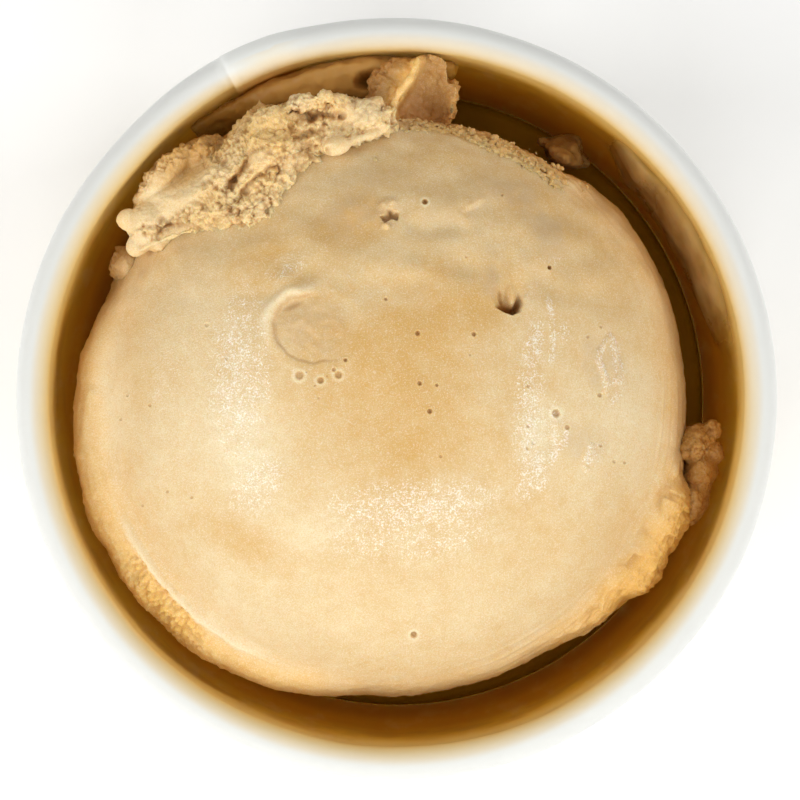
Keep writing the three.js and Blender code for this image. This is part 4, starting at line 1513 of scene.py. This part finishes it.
def make_crumbs(sizes, cup):
    """The granules that cling to the torn strip at the scoop's upper right edge."""
    grain = 0.26
    scatter = np.random.default_rng(7)
    bm = bmesh.new()
    for (x, y), half in CRUMB_LUMPS:
        for _ in range(GRAINS_A_CRUMB):
            dx, dy = scatter.normal(0.0, 0.32, 2)
            size = [side * scatter.uniform(0.35, 0.8) for side in half]
            height = dome_height_at(x, y, sizes) - scatter.uniform(0.0, 0.3)
            add_lump(bm, (x + dx, y + dy, height), size, scatter.uniform(0, 180), scatter.uniform(-60, 60), 1)
    for _ in range(LOOSE_GRAINS):
        degrees = scatter.uniform(50.0, 87.0)
        reach = scatter.uniform(26.6, 27.9)
        size = scatter.uniform(0.10, 0.26)
        a = math.radians(degrees)
        x = SCOOP_CENTRE[0] + reach * math.cos(a)
        y = SCOOP_CENTRE[1] + reach * math.sin(a)
        height = dome_height_at(x, y, sizes) - size * scatter.uniform(0.2, 0.9)
        half = (size, size * scatter.uniform(1.0, 2.4), size * scatter.uniform(0.4, 1.2))
        add_lump(bm, (x, y, height), half, scatter.uniform(0, 180), scatter.uniform(-50, 50), 1)
    mesh = fuse(bm, "crumb_skin", voxel=0.10, passes=1)
    points, plan, torn, hollow = roughen(mesh, cup, grain, (), strength=0.3, seed=150)
    write_points(mesh, points)
    # Painted shade between the granules; the crumbs are darker all over, and darker still towards the outside
    # of the strip.
    outer = ease((apart(plan, *SCOOP_CENTRE) - 26.8) / 1.2)
    paint(mesh, hollow=hollow * 0.4 + 0.10 + 0.22 * outer, frost=0.30, gold=0.25, torn=torn)
    return mesh


# ---------------------------------------------------------------- melt on the wall

# The film's run in degrees, its heights and mean radius in millimetres, and its grid.
FILM_START = -4.0
FILM_END = 54.5
FILM_LOW = 22.0
FILM_HIGH = 47.2
FILM_RADIUS = 34
FILM_SUNK = 0.12
FILM_ALONG = 150
FILM_UP = 70


def make_wall_film(cup):
    """A thin skin of melt: a flat sheet, thickened and wrapped on to the wall."""
    bm = bmesh.new()
    bmesh.ops.create_grid(bm, x_segments=FILM_ALONG, y_segments=FILM_UP, size=0.5)
    bmesh.ops.solidify(bm, geom=bm.faces[:], thickness=-0.01)
    mesh = solid_mesh(bm, "wall_melt")
    flat = read_points(mesh)
    across = flat[:, 0] + 0.5
    up = flat[:, 1] + 0.5
    inner = flat[:, 2] > np.mean(flat[:, 2])
    degrees = FILM_START + (FILM_END - FILM_START) * across
    still = np.zeros(len(flat))
    ragged = 1.1 * wavy(columns(across * 9, still, still + 2.0), 1.0, 1)
    ragged += 0.5 * wavy(columns(across * 30, still, still), 1.0, 2)
    top = FILM_HIGH + ragged - 2.5 * np.clip(2 * across - 1.15, 0, 1) ** 2
    z = FILM_LOW + (top - FILM_LOW) * up
    degrees = degrees + 1.1 * wavy(columns(up * 8, still, still), 1.0, 3) * ease((across - 0.8) / 0.2)
    place = columns(np.radians(degrees) * FILM_RADIUS, z, still)
    body = 0.30 + 0.12 * wavy(place, 5.0, 4) + 0.07 * wavy(place, 1.8, 5) + 0.03 * wavy(place, 0.6, 6)
    border = ease(across / 0.12) * ease((1 - across) / 0.05) * ease(up / 0.05) * ease((1 - up) / 0.35)
    thick = 0.04 + np.maximum(body, 0.02) * border
    wedge = ease((degrees - 4.0) / 14.0) * ease((51.0 - degrees) / 9.0)
    wedge = wedge * ease((top - z) / 15.0) * ease(up / 0.25)
    thick += 1.5 * wedge * (1.0 + 0.25 * wavy(place, 4.0, 9))
    face = cup.inner_face(degrees, z)
    write_points(mesh, on_circles(degrees, np.where(inner, face - thick, face + FILM_SUNK), z))
    mesh = solid_mesh(opened(mesh), "wall_melt")
    # Painted light: the veil paints the film paler where it hangs in the scoop's shade, and sets how opaque
    # the film is.
    veil = ease((degrees - 2.0) / 20.0) * ease((52.0 - degrees) / 5.0)
    veil *= ease((z - 27.0) / 7.0) * ease((top - z) / 5.0) * (0.85 + 0.35 * wavy(place, 3.0, 10))
    paint(mesh, frost=1.25 * veil + 0.1 * wavy(place, 1.0, 7), hollow=0.0, body=0.96 * veil)
    return mesh


# Melt that hangs deep beside the torn strip: direction, radii, tops and foot as in SMEAR_RUN.
WEB_RUN = (
    (51.0, 30.4, 31.0, 31.0, 29.0, 24.0), (53.0, 29.6, 31.6, 36.0, 30.0, 22.0),
    (55.0, 29.0, 32.4, 38.5, 31.0, 22.0), (57.0, 29.0, 32.0, 38.5, 30.5, 22.0),
    (59.0, 29.6, 31.2, 36.0, 29.0, 23.0), (61.0, 30.0, 30.6, 31.0, 28.0, 25.0),
)


def make_wall_web(cup):
    bm = bmesh.new()
    add_band(bm, WEB_RUN, step=1.0)
    mesh = fuse(bm, "web_skin", voxel=0.18, passes=4)
    points = read_points(mesh)
    rise = 0.50 * wavy(points, 1.7, 171) + 0.26 * wavy(points, 0.8, 172) + 0.12 * wavy(points, 0.4, 175)
    points = points + read_normals(mesh) * rise[:, None]
    write_points(mesh, keep_in_cup(points, cup))
    # A mottled darker brown, under a paler melt colour that is painted light standing for light reaching the
    # lump deep in the gap.
    dark = 0.30 + 0.25 * wavy(points, 1.3, 174)
    paint(mesh, hollow=dark, frost=0.85 + 0.4 * wavy(points, 1.3, 173), body=1.0)
    return mesh


# ---------------------------------------------------------------- operators

class PieceOperator:
    """What every piece's operator shares."""

    bl_options = {"REGISTER", "UNDO"}

    def execute(self, context):
        self.make(context.scene.gelato_sizes, CupShape(context.scene.gelato_cup))
        return {"FINISHED"}


class GELATO_OT_cup_wall(PieceOperator, bpy.types.Operator):
    """Makes the paper sidewall with its rolled rim, lapped seam and hem"""

    bl_idname = "gelato.cup_wall"
    bl_label = "Cup Wall"

    def make(self, sizes, cup):
        place_piece("sidewall", make_cup_wall(cup), "white_paper", ["cup_sidewall"])


class GELATO_OT_cup_base(PieceOperator, bpy.types.Operator):
    """Makes the recessed paper base"""

    bl_idname = "gelato.cup_base"
    bl_label = "Cup Base"

    def make(self, sizes, cup):
        place_piece("base", make_cup_base(cup), "base_paper", ["cup_base"])


class GELATO_OT_scoop(PieceOperator, bpy.types.Operator):
    """Makes the scoop with its ledges, dents, burst bubbles and drips"""

    bl_idname = "gelato.scoop"
    bl_label = "Scoop"

    def make(self, sizes, cup):
        place_piece("scoop", make_scoop(sizes, cup), "gelato", ["gelato"])


class GELATO_OT_torn_gelato(PieceOperator, bpy.types.Operator):
    """Makes the torn crest, the scraped end, the chunk and the crumbs"""

    bl_idname = "gelato.torn_gelato"
    bl_label = "Torn Gelato"

    def make(self, sizes, cup):
        makers = {
            "crest": make_crest,
            "scraped_end": make_scraped_end,
            "chunk": make_chunk,
            "crumbs": make_crumbs,
        }
        for name, maker in makers.items():
            place_piece(name, maker(sizes, cup), "gelato")


class GELATO_OT_wall_melt(PieceOperator, bpy.types.Operator):
    """Makes the film, the smear and the hanging lump of melt on the wall"""

    bl_idname = "gelato.wall_melt"
    bl_label = "Wall Melt"

    def make(self, sizes, cup):
        place_piece("wall_melt", make_wall_film(cup), "melted_film", ["wall_film"])
        place_piece("wall_smear", make_wall_smear(cup), "melted_film")
        place_piece("wall_web", make_wall_web(cup), "melted_film")


class GELATO_OT_stage(bpy.types.Operator):
    """Makes the floor, the soft lights and the camera"""

    bl_idname = "gelato.stage"
    bl_label = "Stage"

    def execute(self, context):
        setup = context.scene.gelato_stage
        add_floor()
        add_sky(context.scene, setup.sky)
        for name, degrees, height, away, size, watts in LAMPS:
            add_light(name, degrees, height, away, size, watts * setup.lamps)
        add_camera(context.scene, setup.lens)
        context.scene.view_settings.view_transform = "Standard"
        return {"FINISHED"}


def add_floor():
    bm = bmesh.new()
    bmesh.ops.create_circle(bm, cap_ends=True, segments=96, radius=FLOOR_RADIUS)
    floor = bpy.data.objects.new("floor", as_mesh(bm, "floor"))
    floor.data.materials.append(floor_finish())
    bpy.context.scene.collection.objects.link(floor)


def add_sky(scene, strength):
    world = bpy.data.worlds.new("studio")
    world.use_nodes = True
    background = world.node_tree.nodes["Background"]
    background.inputs["Color"].default_value = (1.0, 1.0, 1.0, 1.0)
    background.inputs["Strength"].default_value = strength
    scene.world = world


# Soft lamps: name, direction and height in degrees, distance and size in metres, watts.
LAMPS = (
    ("left", 184.0, 38.0, 1.0, 0.30, 3.0),
    ("front_left", -135.0, 38.0, 1.0, 0.40, 2.6),
    ("front", -92.0, 38.0, 1.0, 0.30, 1.8),
    ("front_right", -45.0, 38.0, 1.0, 0.40, 2.2),
    ("right", 10.0, 36.0, 1.0, 0.30, 2.7),
    ("overhead", 0.0, 90.0, 1.25, 0.30, 0.7),
)
# The point that the lamps face, how far the lens is off the axis and the floor's radius, in metres.
LAMP_AIM = Vector((0.0, 0.0, 0.03))
CAMERA_ASIDE = (0.00033, -0.00009)
FLOOR_RADIUS = 3.0


def add_light(name, degrees, height, away, size, watts):
    """A soft square lamp that faces the cup."""
    data = bpy.data.lights.new(name, "AREA")
    data.shape = "SQUARE"
    data.size = size
    data.energy = watts
    lamp = bpy.data.objects.new(name, data)
    a, h = math.radians(degrees), math.radians(height)
    place = Vector((math.cos(a) * math.cos(h), math.sin(a) * math.cos(h), math.sin(h))) * away
    aim = LAMP_AIM - place
    lamp.matrix_world = Matrix.Translation(place) @ aim.to_track_quat("-Z", "Y").to_matrix().to_4x4()
    bpy.context.scene.collection.objects.link(lamp)


def add_camera(scene, lens):
    data = bpy.data.cameras.new("camera")
    data.lens = lens
    data.sensor_width = 36.0
    data.clip_start = 0.05
    camera = bpy.data.objects.new("camera", data)
    camera.location = (*CAMERA_ASIDE, scene.gelato_cup.height + LENS_ABOVE_RIM * MM)
    scene.collection.objects.link(camera)
    scene.camera = camera


class GELATO_PT_panel(bpy.types.Panel):
    """Lists the steps that make the gelato cup"""

    bl_idname = "GELATO_PT_panel"
    bl_label = "Gelato Cup"
    bl_space_type = "VIEW_3D"
    bl_region_type = "UI"
    bl_category = "Gelato"

    def draw(self, context):
        layout = self.layout
        for group in (context.scene.gelato_cup, context.scene.gelato_sizes, context.scene.gelato_finishes):
            box = layout.box()
            for name in group.__annotations__:
                box.prop(group, name)
        for operator in OPERATORS:
            layout.operator(operator.bl_idname)


GROUPS = {
    "gelato_cup": CupSizes,
    "gelato_sizes": GelatoSizes,
    "gelato_finishes": Finishes,
    "gelato_stage": StageSetup,
}
OPERATORS = (
    GELATO_OT_stage,
    GELATO_OT_cup_wall,
    GELATO_OT_cup_base,
    GELATO_OT_scoop,
    GELATO_OT_torn_gelato,
    GELATO_OT_wall_melt,
)


def register():
    for group in GROUPS.values():
        bpy.utils.register_class(group)
    for operator in OPERATORS:
        bpy.utils.register_class(operator)
    bpy.utils.register_class(GELATO_PT_panel)
    for name, group in GROUPS.items():
        setattr(bpy.types.Scene, name, bpy.props.PointerProperty(type=group))


def unregister():
    for name in GROUPS:
        delattr(bpy.types.Scene, name)
    bpy.utils.unregister_class(GELATO_PT_panel)
    for operator in reversed(OPERATORS):
        bpy.utils.unregister_class(operator)
    for group in reversed(GROUPS.values()):
        bpy.utils.unregister_class(group)


def main():
    register()
    bpy.ops.gelato.stage()
    bpy.ops.gelato.cup_wall()
    bpy.ops.gelato.cup_base()
    bpy.ops.gelato.scoop()
    bpy.ops.gelato.torn_gelato()
    bpy.ops.gelato.wall_melt()


if __name__ == "__main__":
    main()
